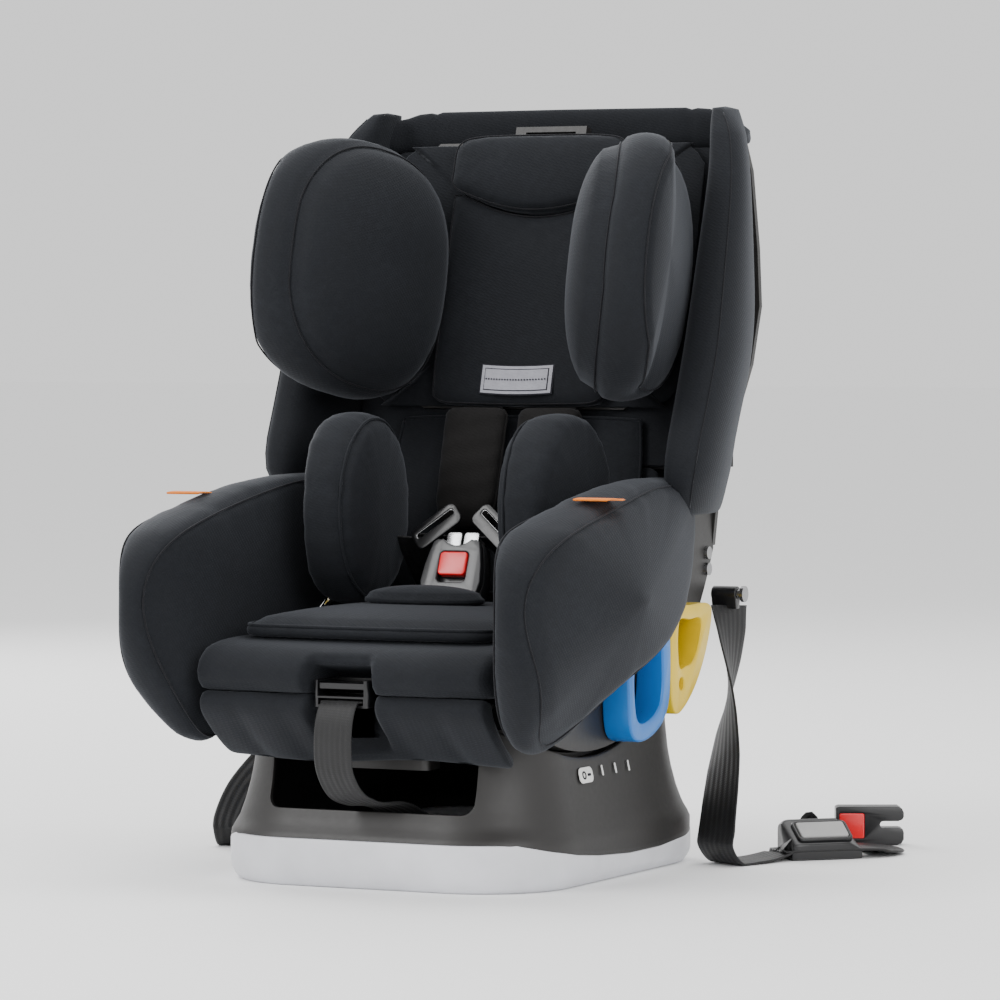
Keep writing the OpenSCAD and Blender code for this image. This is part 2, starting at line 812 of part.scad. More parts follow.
base_skirt();
base_pedestal();
base_floor_plate();
base_screws();
recline_cradle();
recline_scale_label();
adjuster_strap_tail();
seat_shell();
shell_screws();
recline_handle();
recline_lock_bar();
rear_facing_guides();
forward_facing_guides();
strap_anchor_bars();
seat_foam();
back_foam();
back_cover();
top_border();
back_bolsters();
hip_wings();
seat_cushion();
front_apron();
seat_insert_pad();
back_insert_pad();
side_insert_pads();
crotch_pad();
crotch_strap();
buckle_housing();
buckle_button();
buckle_latch();
buckle_spring();
buckle_tongues();
harness_webbing();
chest_pads();
harness_yoke();
adjuster_housing();
adjuster_lever();
adjuster_pin();
adjuster_strap();
headrest_shell();
headrest_carriage();
headrest_pad();
headrest_pillow();
headrest_wings();
headrest_label();
headrest_release();
headrest_lock_bolt();
headrest_rack();
anchor_straps_upper();
anchor_strap_lower_right();
anchor_strap_lower_left();
strap_adjusters();
strap_button_right();
strap_button_left();
anchor_connectors();
connector_button_right();
connector_button_left();
connector_latch_right();
connector_latch_left();
cover_tags();
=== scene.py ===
# The looks of the convertible car seat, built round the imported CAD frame.
import math

import bpy
import bmesh
import numpy as np
from mathutils import Matrix, Vector


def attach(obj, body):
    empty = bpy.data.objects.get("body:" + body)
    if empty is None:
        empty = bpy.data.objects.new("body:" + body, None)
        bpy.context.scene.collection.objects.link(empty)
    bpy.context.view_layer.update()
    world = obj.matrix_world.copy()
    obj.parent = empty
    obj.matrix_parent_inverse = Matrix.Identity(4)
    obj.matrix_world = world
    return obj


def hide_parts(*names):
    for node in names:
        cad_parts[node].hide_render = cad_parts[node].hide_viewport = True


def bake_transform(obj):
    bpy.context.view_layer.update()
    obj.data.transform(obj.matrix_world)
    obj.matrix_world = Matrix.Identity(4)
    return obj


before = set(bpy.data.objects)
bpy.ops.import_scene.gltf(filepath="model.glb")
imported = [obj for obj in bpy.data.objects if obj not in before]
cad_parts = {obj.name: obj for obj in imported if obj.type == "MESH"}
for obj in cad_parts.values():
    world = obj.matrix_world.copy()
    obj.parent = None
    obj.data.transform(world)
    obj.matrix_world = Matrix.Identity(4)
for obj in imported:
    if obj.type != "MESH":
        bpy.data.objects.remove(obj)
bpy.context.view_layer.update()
MM = 0.001
SEED = 7
rng = np.random.default_rng(SEED)
np_v = np.array


# ---- Camera ----

def make_camera():
    """A long lens at the photograph's angle: 26 degrees round, slightly above the seat."""
    azimuth = math.radians(26.0)
    pitch = math.radians(2.0)
    distance = 4.283
    aim = Vector((0.0273, 0.0133, 0.3115))
    back = Vector((math.sin(azimuth) * math.cos(pitch), -math.cos(azimuth) * math.cos(pitch),
                   math.sin(pitch)))
    data = bpy.data.cameras.new("camera")
    data.lens = 182.6
    data.sensor_width = 36.0
    data.clip_end = 60.0
    cam = bpy.data.objects.new("camera", data)
    bpy.context.scene.collection.objects.link(cam)
    cam.location = aim + back * distance
    cam.rotation_euler = (-back).to_track_quat("-Z", "Y").to_euler()
    bpy.context.scene.camera = cam


make_camera()


# ---- Materials ----

class Nodes:
    """A small helper round a material's node tree."""

    def __init__(self, name):
        self.mat = bpy.data.materials.new(name)
        self.mat.use_nodes = True
        self.tree = self.mat.node_tree
        self.shader = self.tree.nodes["Principled BSDF"]

    def add(self, kind, inputs=None, **props):
        node = self.tree.nodes.new(kind)
        for key, value in props.items():
            setattr(node, key, value)
        for key, value in (inputs or {}).items():
            self.put(node.inputs[key], value)
        return node

    def put(self, socket, value):
        if isinstance(value, bpy.types.NodeSocket):
            self.tree.links.new(value, socket)
        else:
            socket.default_value = value

    def math(self, operation, a, b=0.0):
        node = self.add("ShaderNodeMath", operation=operation)
        self.put(node.inputs[0], a)
        self.put(node.inputs[1], b)
        return node.outputs[0]

    def ramp(self, value, stops):
        node = self.add("ShaderNodeValToRGB", {"Fac": value})
        ramp = node.color_ramp
        while len(ramp.elements) < len(stops):
            ramp.elements.new(0.5)
        for element, (place, colour) in zip(ramp.elements, stops):
            element.position = place
            element.color = (*colour, 1.0) if len(colour) == 3 else colour
        return node.outputs["Color"]

    def place(self, scale=(1, 1, 1), rotation=(0, 0, 0)):
        coords = self.add("ShaderNodeTexCoord").outputs["Object"]
        mapping = self.add("ShaderNodeMapping", {"Vector": coords, "Scale": scale, "Rotation": rotation})
        return mapping.outputs["Vector"]

    def noise(self, scale, detail=4.0, vector=None, rough=0.55):
        inputs = {"Scale": scale, "Detail": detail, "Roughness": rough}
        inputs["Vector"] = vector if vector is not None else self.place()
        return self.add("ShaderNodeTexNoise", inputs).outputs["Fac"]

    def bump(self, height, distance, strength=1.0, normal=None):
        inputs = {"Height": height, "Distance": distance, "Strength": strength}
        if normal is not None:
            inputs["Normal"] = normal
        return self.add("ShaderNodeBump", inputs).outputs["Normal"]

    def set(self, **values):
        for key, value in values.items():
            self.put(self.shader.inputs[key.replace("_", " ")], value)


def scaled(colour, k):
    return tuple(min(1.0, c * k) for c in colour)


def knit_fabric(name, colour, tint, sheen=0.12, thread=1.1e-3, bump=1.6e-4):
    """A fine knit: two crossed waves for the loops, a soft nap, and broad shade changes."""
    m = Nodes(name)
    place = m.place()
    pitch = 1.0 / thread
    warp = m.add("ShaderNodeTexWave", {"Vector": place, "Scale": pitch / 6.3, "Distortion": 1.5,
                 "Detail": 1.0, "Detail Scale": 2.0}, bands_direction="DIAGONAL").outputs["Fac"]
    weft = m.add("ShaderNodeTexWave", {"Vector": m.place(rotation=(0.4, 1.3, 0.7)), "Scale": pitch / 6.3,
                 "Distortion": 1.5, "Detail": 1.0, "Detail Scale": 2.0}, bands_direction="X").outputs["Fac"]
    loops = m.math("MULTIPLY", warp, weft)
    nap = m.noise(1400.0, 2.0)
    broad = m.noise(9.0, 3.0)
    mottled = m.noise(160.0, 3.0)
    mix = m.math("ADD", m.math("MULTIPLY", broad, 0.55), m.math("MULTIPLY", mottled, 0.45))
    m.set(Base_Color=m.ramp(mix, [(0.30, scaled(colour, 0.82)), (0.52, colour), (0.72, tint)]))
    m.set(Roughness=m.ramp(nap, [(0.3, (0.78,) * 3), (0.7, (0.94,) * 3)]))
    m.set(Sheen_Weight=sheen, Sheen_Roughness=0.42, Sheen_Tint=(0.75, 0.8, 0.9, 1.0))
    m.set(Specular_IOR_Level=0.28)
    height = m.math("ADD", m.math("MULTIPLY", loops, 0.75), m.math("MULTIPLY", nap, 0.4))
    m.set(Normal=m.bump(height, bump))
    return m.mat


def moulded_plastic(name, colour, rough=0.42, grain=2600.0, depth=3.0e-5, spec=0.5, coat=0.0):
    """Moulded plastic with a fine spark-eroded grain, faint marks and softly varying gloss."""
    m = Nodes(name)
    grain_fac = m.noise(grain, 3.0)
    cloud = m.noise(14.0, 4.0)
    fine = m.noise(240.0, 4.0)
    m.set(Base_Color=m.ramp(cloud, [(0.3, scaled(colour, 0.88)), (0.7, scaled(colour, 1.08))]))
    gloss = m.math("ADD", m.math("MULTIPLY", fine, 0.12), rough - 0.06)
    m.set(Roughness=gloss, Specular_IOR_Level=spec, Coat_Weight=coat, Coat_Roughness=0.12)
    m.set(Normal=m.bump(grain_fac, depth))
    return m.mat


def brushed_metal(name, colour, rough=0.28):
    m = Nodes(name)
    lines = m.noise(900.0, 3.0, m.place(scale=(1, 1, 0.08)))
    cloud = m.noise(40.0, 3.0)
    m.set(Base_Color=m.ramp(cloud, [(0.3, scaled(colour, 0.85)), (0.7, colour)]))
    m.set(Metallic=1.0, Roughness=m.math("ADD", m.math("MULTIPLY", lines, 0.18), rough - 0.09))
    m.set(Normal=m.bump(lines, 2.0e-5))
    return m.mat


WEB_RIBS = 7.0
TWILLS_ACROSS = 22.0


def woven_webbing(name, colour):
    """Webbing: a fine twill with raised ribs, laid out by the strap's own UV (u across, v along)."""
    m = Nodes(name)
    uv = m.add("ShaderNodeUVMap").outputs["UV"]
    split = m.add("ShaderNodeSeparateXYZ", {"Vector": uv})
    u, v = split.outputs["X"], split.outputs["Y"]
    ribs = m.math("SINE", m.math("MULTIPLY", u, 2 * math.pi * WEB_RIBS))
    slope = m.math("ADD", m.math("MULTIPLY", u, TWILLS_ACROSS), v)
    twill = m.math("SINE", m.math("MULTIPLY", slope, 2 * math.pi))
    picks = m.math("SINE", m.math("MULTIPLY", v, 2 * math.pi))
    nap = m.noise(1500.0, 2.0)
    m.set(Base_Color=m.ramp(m.noise(60.0, 3.0), [(0.3, scaled(colour, 0.8)), (0.7, scaled(colour, 1.3))]))
    m.set(Roughness=m.ramp(nap, [(0.3, (0.42,) * 3), (0.7, (0.6,) * 3)]))
    m.set(Specular_IOR_Level=0.4, Sheen_Weight=0.04)
    rough_height = m.math("ADD", m.math("MULTIPLY", twill, 0.35), m.math("MULTIPLY", picks, 0.25))
    fine = m.bump(rough_height, 1.2e-4)
    m.set(Normal=m.bump(ribs, 1.4e-4, normal=fine))
    return m.mat


def bead_foam(name):
    m = Nodes(name)
    cells = m.add("ShaderNodeTexVoronoi", {"Vector": m.place(), "Scale": 320.0}).outputs["Distance"]
    m.set(Base_Color=m.ramp(cells, [(0.0, (0.030, 0.030, 0.032)), (0.6, (0.018, 0.018, 0.019))]),
          Roughness=0.85)
    m.set(Normal=m.bump(cells, -4.0e-4))
    return m.mat


COVER = knit_fabric("cover_knit", (0.0055, 0.0066, 0.0092), (0.0085, 0.0100, 0.0132))
PAD_BLACK = knit_fabric("pad_knit", (0.0062, 0.0054, 0.0052), (0.009, 0.008, 0.0078), sheen=0.08)
THREAD = knit_fabric("seam_thread", (0.006, 0.006, 0.008), (0.009, 0.009, 0.011), sheen=0.1)
BASE = moulded_plastic("base_moulding", (0.0175, 0.0162, 0.0155), rough=0.47)
SHELL = moulded_plastic("shell_moulding", (0.0165, 0.0155, 0.0150), rough=0.44)
BAND = moulded_plastic("band_moulding", (0.66, 0.665, 0.70), rough=0.45, grain=1800.0)
CAVITY = moulded_plastic("inner_moulding", (0.012, 0.011, 0.011), rough=0.6)
GLOSS_BLACK = moulded_plastic("gloss_black", (0.006, 0.006, 0.007), rough=0.3, coat=0.1)
GUNMETAL = moulded_plastic("gunmetal", (0.030, 0.030, 0.032), rough=0.32, coat=0.2)
BLUE = moulded_plastic("guide_blue", (0.004, 0.15, 0.50), rough=0.30, depth=1.5e-5)
YELLOW = moulded_plastic("guide_yellow", (0.70, 0.48, 0.002), rough=0.30, depth=1.5e-5)
RED = moulded_plastic("button_red", (0.80, 0.012, 0.018), rough=0.25, depth=1.5e-5, coat=0.2)
GREY = moulded_plastic("button_grey", (0.36, 0.36, 0.355), rough=0.38)
PRINT = knit_fabric("printed_white", (0.78, 0.78, 0.76), (0.84, 0.84, 0.82), sheen=0.05)
LABEL = knit_fabric("label_cloth", (0.36, 0.36, 0.40), (0.42, 0.42, 0.46), sheen=0.1)
INK = knit_fabric("label_ink", (0.015, 0.015, 0.02), (0.02, 0.02, 0.025), sheen=0.05)
ORANGE = knit_fabric("tag_orange", (0.75, 0.20, 0.02), (0.85, 0.26, 0.03), sheen=0.15)
TEAL = knit_fabric("tag_teal", (0.16, 0.42, 0.44), (0.2, 0.48, 0.5), sheen=0.15)
METAL = brushed_metal("zinc_steel", (0.42, 0.42, 0.43))
CHROME = brushed_metal("bright_steel", (0.42, 0.42, 0.43), rough=0.22)
WEB = woven_webbing("webbing", (0.006, 0.006, 0.0065))
FOAM = bead_foam("bead_foam")


# ---- Mesh building ----

def link(name, verts, faces, material, body, smooth=True, uvs=None):
    """Makes a piece from points in millimetres and rides it on a body."""
    mesh = bpy.data.meshes.new(name)
    mesh.from_pydata([tuple(float(c) * MM for c in v) for v in verts], [], faces)
    mesh.update()
    if uvs is not None:
        layer = mesh.uv_layers.new(name="UVMap")
        for loop in mesh.loops:
            layer.data[loop.index].uv = uvs[loop.vertex_index]
    mesh.polygons.foreach_set("use_smooth", [smooth] * len(mesh.polygons))
    obj = bpy.data.objects.new(name, mesh)
    bpy.context.scene.collection.objects.link(obj)
    obj.data.materials.append(material)
    tidy_normals(obj)
    if body:
        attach(obj, body)
    return obj


def tidy_normals(obj):
    bm = bmesh.new()
    bm.from_mesh(obj.data)
    bmesh.ops.remove_doubles(bm, verts=bm.verts, dist=1e-6)
    bmesh.ops.recalc_face_normals(bm, faces=bm.faces)
    bm.to_mesh(obj.data)
    bm.free()


def apply_modifiers(obj):
    depsgraph = bpy.context.evaluated_depsgraph_get()
    mesh = bpy.data.meshes.new_from_object(obj.evaluated_get(depsgraph))
    obj.modifiers.clear()
    obj.data = mesh


def bevelled(obj, width, segments=3, angle=30.0):
    mod = obj.modifiers.new("bevel", "BEVEL")
    mod.width = width * MM
    mod.segments = segments
    mod.limit_method = "ANGLE"
    mod.angle_limit = math.radians(angle)
    mod.harden_normals = False
    apply_modifiers(obj)
    obj.data.polygons.foreach_set("use_smooth", [True] * len(obj.data.polygons))
    sharpen(obj)
    return obj


def sharpen(obj, angle=38.0):
    obj.data.set_sharp_from_angle(angle=math.radians(angle))


def grid_faces(rows, cols, closed, start=0):
    """Quads between rows of points, each row a closed ring or an open line."""
    faces = []
    span = cols if closed else cols - 1
    for r in range(rows - 1):
        for c in range(span):
            d = (c + 1) % cols
            faces.append((start + r * cols + c, start + r * cols + d,
                          start + (r + 1) * cols + d, start + (r + 1) * cols + c))
    return faces


def ring_mesh(rings, poles=(None, None)):
    """Points and faces of a stack of closed rings, each end closed by a pole or by one face."""
    rings = np.asarray(rings, float)
    rows, cols = rings.shape[:2]
    verts = [tuple(p) for ring in rings for p in ring]
    faces = grid_faces(rows, cols, True)
    for pole, row in zip(poles, (0, rows - 1)):
        base = row * cols
        if pole is None:
            faces.append(tuple(base + c for c in range(cols)))
            continue
        verts.append(tuple(pole))
        tip = len(verts) - 1
        faces += [(tip, base + c, base + (c + 1) % cols) for c in range(cols)]
    return verts, faces


def catmull_rom(p0, p1, p2, p3, t):
    """The point at t between p1 and p2."""
    return 0.5 * (2 * p1 + (p2 - p0) * t + (2 * p0 - 5 * p1 + 4 * p2 - p3) * t * t
                  + (3 * p1 - p0 - 3 * p2 + p3) * t ** 3)


def spline(points, count, closed=True):
    """Points evenly spaced along a Catmull-Rom curve through the given ones."""
    pts = np.asarray(points, float)
    n = len(pts)
    spans = n if closed else n - 1
    fine = []
    for i in range(spans):
        if closed:
            p0, p1, p2, p3 = (pts[(i + k) % n] for k in (-1, 0, 1, 2))
        else:
            p0, p1, p2, p3 = pts[max(i - 1, 0)], pts[i], pts[i + 1], pts[min(i + 2, n - 1)]
        for t in np.linspace(0, 1, 24, endpoint=False):
            fine.append(catmull_rom(p0, p1, p2, p3, t))
    fine.append(pts[0] if closed else pts[-1])
    fine = np.array(fine)
    lengths = np.concatenate([[0], np.cumsum(np.linalg.norm(np.diff(fine, axis=0), axis=1))])
    targets = np.linspace(0, lengths[-1], count + 1 if closed else count)
    out = np.stack([np.interp(targets, lengths, fine[:, k]) for k in range(fine.shape[1])], axis=1)
    return out[:-1] if closed else out


LEAN = math.radians(15.0)
BIGHT = np_v([0.0, 78.0, 235.0])


def on_back(points):
    """From the backrest's frame (x across, y into the back, z up it) to the row's, in millimetres."""
    p = np.asarray(points, float)
    y = p[..., 1] * math.cos(LEAN) + p[..., 2] * math.sin(LEAN)
    z = -p[..., 1] * math.sin(LEAN) + p[..., 2] * math.cos(LEAN)
    return np.stack([p[..., 0] + BIGHT[0], y + BIGHT[1], z + BIGHT[2]], axis=-1)


BACK_M = Matrix.Translation(Vector(BIGHT * MM)) @ Matrix.Rotation(-LEAN, 4, "X")


def mirrored(points, side):
    p = np.asarray(points, float).copy()
    p[..., 0] *= side
    return p


def softened(loop, share):
    """A closed loop of points blurred along itself by a share of its length."""
    n = len(loop)
    steps = np.minimum(np.arange(n), n - np.arange(n))
    weight = np.exp(-0.5 * (steps / (n * share)) ** 2)
    weight /= weight.sum()
    return np.real(np.fft.ifft(np.fft.fft(loop, axis=0) * np.fft.fft(weight)[:, None], axis=0))


def panel_rings(seam, centre, bulge, normal, power, count, tuck):
    """Rings from a panel's middle out to its seam.

    The panel rises by bulge and turns down steeply at the seam. Corners in the seam fade out towards
    the middle, so that they leave no creases."""
    soft = softened(seam, 0.075)
    rings = []
    for s in np.linspace(0, 1, count + 1)[1:]:
        t = s ** 0.85
        lift = bulge * max(0.0, 1 - t ** power) ** 0.5
        aim = soft + (seam - soft) * t ** 2.5
        rings.append(centre + (aim - centre) * t + normal * lift)
    rings[-1] = rings[-1] + (centre - seam) / np.linalg.norm(centre - seam, axis=1)[:, None] * tuck
    return rings


def pucker(rings, seam_rows, amount, waves, spread=3.0):
    """Small gathers that die away from each seam."""
    rings = np.array(rings)
    rows, cols = rings.shape[:2]
    phase = rng.uniform(0, 6.28, 4)
    k = np.arange(cols) / cols * 2 * math.pi
    wave = (np.sin(k * waves + phase[0]) + 0.6 * np.sin(k * waves * 1.7 + phase[1])
            + 0.5 * np.sin(k * waves * 0.61 + phase[2])) / 2
    middle = rings.mean(axis=(0, 1))
    for row in range(rows):
        near = max(math.exp(-abs(row - s) / spread) for s in seam_rows)
        out = rings[row] - middle
        out /= np.linalg.norm(out, axis=1)[:, None]
        rings[row] += out * (wave * amount * near)[:, None]
    return rings


def sewn_pad(name, seam_a, seam_b, middle_a, middle_b, normal_a, normal_b, bulge_a, bulge_b, crown,
             material, body, power=2.6, groove=1.6, gather=0.25, waves=23, rows=14, strips=8):
    """A stuffed piece: two panels, each sewn along its own seam to a crowned strip between them."""
    seam_a, seam_b = np.asarray(seam_a, float), np.asarray(seam_b, float)
    middle_a, middle_b = np_v(middle_a, float), np_v(middle_b, float)
    normal_a, normal_b = np_v(normal_a, float), np_v(normal_b, float)
    base_a, base_b = middle_a - normal_a * bulge_a, middle_b - normal_b * bulge_b
    top = panel_rings(seam_a, base_a, bulge_a, normal_a, power, rows, groove)
    low = panel_rings(seam_b, base_b, bulge_b, normal_b, power, rows, groove)[::-1]
    heart = (seam_a.mean(axis=0) + seam_b.mean(axis=0)) / 2
    strip = []
    across = seam_b - seam_a
    width = np.linalg.norm(across, axis=1)[:, None]
    flat = across / np.maximum(width, 1e-6)
    for t in np.arange(1, strips) / strips:
        point = seam_a + across * t
        out = point - heart
        out -= flat * np.sum(out * flat, axis=1)[:, None]
        out /= np.linalg.norm(out, axis=1)[:, None]
        strip.append(point + out * crown * np.minimum(1.0, width / 25.0) * math.sin(math.pi * t) ** 0.6)
    rings = pucker(top + strip + low, [rows - 1, rows + len(strip)], gather, waves)
    verts, faces = ring_mesh(rings, (middle_a, middle_b))
    return link(name, verts, faces, material, body)


def piping(name, path, radius, material, body, closed=True, sides=8):
    """A thin sewn line or cord along a path, in millimetres."""
    path = np.asarray(path, float)
    n = len(path)
    rings = []
    for i in range(n):
        before = path[(i - 1) % n] if closed or i else path[i]
        after = path[(i + 1) % n] if closed or i < n - 1 else path[i]
        tangent = (after - before) / np.linalg.norm(after - before)
        side = np.cross(tangent, (0.31, 0.12, 0.94))
        side /= np.linalg.norm(side)
        up = np.cross(side, tangent)
        a = np.linspace(0, 2 * math.pi, sides, endpoint=False)[:, None]
        rings.append(path[i] + radius * (np.cos(a) * side + np.sin(a) * up))
    if closed:
        rings.append(rings[0])
        verts = [tuple(p) for ring in rings for p in ring]
        return link(name, verts, grid_faces(n + 1, sides, True), material, body)
    verts, faces = ring_mesh(rings)
    return link(name, verts, faces, material, body)


def extruded(name, outline, lo, hi, axis, material, bevel=0.0, holes=()):
    """A prism from an outline in the two other axes, along one axis, with optional holes."""
    bm = bmesh.new()
    order = {"x": lambda a, b, h: (h, a, b), "y": lambda a, b, h: (a, h, b),
             "z": lambda a, b, h: (a, b, h)}[axis]
    loops = []
    for loop in [outline, *holes]:
        verts = [bm.verts.new([c * MM for c in order(a, b, lo)]) for a, b in loop]
        loops.append([bm.edges.new((verts[i], verts[(i + 1) % len(verts)])) for i in range(len(verts))])
    edges = [e for loop in loops for e in loop]
    filled = bmesh.ops.triangle_fill(bm, edges=edges, use_beauty=True)
    faces = [g for g in filled["geom"] if isinstance(g, bmesh.types.BMFace)]
    out = bmesh.ops.extrude_face_region(bm, geom=faces)
    moved = [g for g in out["geom"] if isinstance(g, bmesh.types.BMVert)]
    bmesh.ops.translate(bm, verts=moved, vec=Vector(order(0, 0, (hi - lo) * MM)))
    bmesh.ops.recalc_face_normals(bm, faces=bm.faces)
    bmesh.ops.dissolve_limit(bm, angle_limit=0.002, verts=bm.verts, edges=bm.edges)
    mesh = bpy.data.meshes.new(name)
    bm.to_mesh(mesh)
    bm.free()
    obj = bpy.data.objects.new(name, mesh)
    bpy.context.scene.collection.objects.link(obj)
    obj.data.materials.append(material)
    if bevel:
        bevelled(obj, bevel)
    else:
        sharpen(obj)
    return obj


def moved(obj, matrix):
    obj.data.transform(matrix)
    return obj


def placed(x, y, z, angle, axis):
    """A move in millimetres after a turn in degrees about an axis."""
    return Matrix.Translation(Vector((x, y, z)) * MM) @ Matrix.Rotation(math.radians(angle), 4, axis)


def arc(cx, cy, r, start, end, count):
    return [(cx + r * math.cos(math.radians(a)), cy + r * math.sin(math.radians(a)))
            for a in np.linspace(start, end, count)]


def rounded_rect(w, h, r, cx=0.0, cy=0.0, count=7):
    pts = []
    for sx, sy, start in ((1, 1, 0), (-1, 1, 90), (-1, -1, 180), (1, -1, 270)):
        pts += arc(cx + sx * (w / 2 - r), cy + sy * (h / 2 - r), r, start, start + 90, count)
    return pts


# ---- Webbing ----

HARNESS_WIDTH = 38
CROTCH_WIDTH = 34
PULLER_WIDTH = 34
HARNESS_THICKNESS = 1.8
HEAVY_THICKNESS = 2.0
PICK_LENGTH = 2.2
FLOOR_CLEARANCE = 0.4


def angle_at(route, t):
    """The strap's turn about the vertical at a share t of its route, in radians."""
    angles = np.unwrap(np.radians([p[3] for p in route]))
    f = t * (len(route) - 1)
    return np.interp(f, np.arange(len(route)), angles)


def strap(name, route, width, thickness, body, steps=None):
    """A flat strap along [x, y, z, angle] points, with rounded edges and UVs in millimetres along it."""
    xyz = np.array([p[:3] for p in route], float)
    n = steps or 8 * len(route)
    dense = []
    for k in range(n):
        f = k / (n - 1) * (len(route) - 1)
        i = min(int(f), len(route) - 2)
        t = f - i
        ends = xyz[max(i - 1, 0)], xyz[i], xyz[i + 1], xyz[min(i + 2, len(xyz) - 1)]
        dense.append(catmull_rom(*ends, t))
    dense = np.array(dense)
    shape = [(-0.5, 0.0), (-0.492, 0.32), (-0.47, 0.5)]
    shape += [(u, 0.5) for u in np.linspace(-0.42, 0.42, 13)]
    shape += [(0.47, 0.5), (0.492, 0.32), (0.5, 0.0)]
    shape += [(u, -v) for u, v in shape[::-1][1:-1]]
    widths = np.atleast_1d(width)
    rings, uvs, run = [], [], 0.0
    rib = [1.0 + 0.06 * math.cos(2 * math.pi * 3.5 * u) if abs(u) < 0.45 else 1.0 for u, _ in shape]
    for k in range(n):
        if k:
            run += np.linalg.norm(dense[k] - dense[k - 1])
        tangent = dense[min(k + 1, n - 1)] - dense[max(k - 1, 0)]
        tangent /= np.linalg.norm(tangent)
        a = angle_at(route, k / (n - 1))
        side = np_v([math.cos(a), math.sin(a), 0.0])
        side -= tangent * side.dot(tangent)
        side /= np.linalg.norm(side)
        up = np.cross(tangent, side)
        wide = np.interp(k / (n - 1), np.linspace(0, 1, len(widths)), widths)
        ring = np_v([dense[k] + side * wide * u + up * (thickness * v * r)
                     for (u, v), r in zip(shape, rib)])
        ring[:, 2] += max(0.0, FLOOR_CLEARANCE - ring[:, 2].min())
        rings.append(ring)
        uvs += [(u + 0.5, run / PICK_LENGTH) for u, _ in shape]
    verts, faces = ring_mesh(rings)
    return link(name, verts, faces, WEB, body, uvs=uvs), dense


UPPER_RIGHT = [[154, 207, 216, 70], [156, 205, 200, 78], [160, 196, 178, 92], [166, 180, 150, 110],
               [173, 158, 118, 130], [180, 136, 85, 145], [184, 119, 55, 152], [185, 110, 30, 156],
               [185, 108, 16, 156]]
FLOOR_RIGHT = [[190, 121, 2, 156], [198, 140, 2, 154], [206, 160, 3, 150], [214, 176, 6, 142],
               [218, 181, 8, 135]]
TAIL_RIGHT = [[268, 231, 8, 135], [278, 246, 5, 160], [277, 262, 3, 190], [264, 278, 3, 228],
              [240, 287, 3, 255],
              [214, 288, 3, 275], [197, 297, 5, 290], [190, 303, 9, 296], [194, 309.5, 13, 296],
              [207.5, 316, 14, 296]]
UPPER_LEFT = [[-154, 207, 216, 110], [-157, 206, 198, 100], [-166, 198, 175, 80], [-184, 178, 145, 60],
              [-208, 148, 112, 42], [-232, 112, 80, 32], [-248, 82, 50, 28], [-254, 66, 26, 26],
              [-254, 63, 15, 26]]
FLOOR_LEFT = [[-259, 76, 2, 26], [-267, 96, 2, 26], [-275, 118, 3, 24], [-284, 138, 6, 20],
              [-289, 150, 8, 16]]
TAIL_LEFT = [[-286, 222, 8, 0], [-282, 240, 4, -12], [-268, 258, 3, -50], [-252, 267, 4, -80],
             [-242.4, 268, 8, -90]]
HARNESS_ADJUSTER = [[0, -224.5, 155.5, 0], [0, -230, 151, 0], [-1, -234, 138, 0], [-3, -232, 118, 0],
                    [-5, -224, 98, 0], [-4, -208, 80, 4], [2, -192, 72, 10]]
HARNESS_TAIL = [[14, -172, 68, 16], [22, -156, 60, 20], [28, -140, 48, 22], [32, -128, 32, 22],
                [34, -120, 14, 22]]


puller, puller_path = strap("harness_adjuster_strap", HARNESS_ADJUSTER + HARNESS_TAIL, PULLER_WIDTH,
                            HEAVY_THICKNESS, None)
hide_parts("adjuster_strap", "adjuster_strap_tail")
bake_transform(puller)


# ---- Harness webbing on the seat ----

SHOULDER = [[35, 114, 408, 0], [35, 107.6, 384, 0], [35, 94.2, 334, 0], [35, 83, 292, 0], [35, 77, 276, 0],
            [34, 65.5, 267, 0], [33, 46, 262, 0], [31, 25, 270, 0], [29, 7, 281, 0]]
LAP = [[46.5, 2, 279, 0], [48, 20, 260, 0], [49, 42, 238, 0], [49, 59, 222, 0]]
CROTCH = [[0, -36, 158, 0], [0, -36, 175, 0], [0, -36, 190, 0], [0, -35, 198, 0], [0, -30, 208, 0],
          [0, -21, 230.5, 0]]
UNDER_SEAT = [[0, -223, 155.5, 0], [0, -180, 155.5, 0], [0, -156, 151, 0], [0, -142, 141, 0],
              [0, -120, 138, 0],
              [0, -60, 138, 0], [0, 0, 138, 0], [0, 60, 142, 0], [0, 88, 155, 0], [0, 107, 168, 0],
              [0, 126, 183, 0], [0, 142, 198, 0], [0, 157, 216, 0], [0, 165, 240, 0], [0, 167.5, 278, 0]]


def flipped(route):
    return [[-x, y, z, -a] for x, y, z, a in route]


for side_name, flip in (("right", lambda r: r), ("left", flipped)):
    shoulder, _ = strap(f"shoulder_strap_{side_name}", flip(SHOULDER), HARNESS_WIDTH, HARNESS_THICKNESS,
                        None)
    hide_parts("harness_webbing")
    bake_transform(shoulder)
    lap, _ = strap(f"lap_strap_{side_name}", flip(LAP), HARNESS_WIDTH, HARNESS_THICKNESS, "seat")
crotch, _ = strap("crotch_strap_web", CROTCH, CROTCH_WIDTH, HARNESS_THICKNESS, "seat")
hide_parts("crotch_strap")
under, _ = strap("harness_return_strap", UNDER_SEAT, HARNESS_WIDTH, HARNESS_THICKNESS, "seat")


def pair(make, name, node):
    """Makes a piece for each side and hides the CAD node that holds both."""
    right = make(f"{name}_right", 1)
    make(f"{name}_left", -1)
    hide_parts(node)


# ---- Headrest ----

def oval(centre, half, count, power=2.3):
    """Points of a superellipse in two axes."""
    a = np.linspace(0, 2 * math.pi, count, endpoint=False)
    u = np.sign(np.cos(a)) * np.abs(np.cos(a)) ** (2 / power)
    v = np.sign(np.sin(a)) * np.abs(np.sin(a)) ** (2 / power)
    return np.stack([centre[0] + half[0] * u, centre[1] + half[1] * v], axis=1)


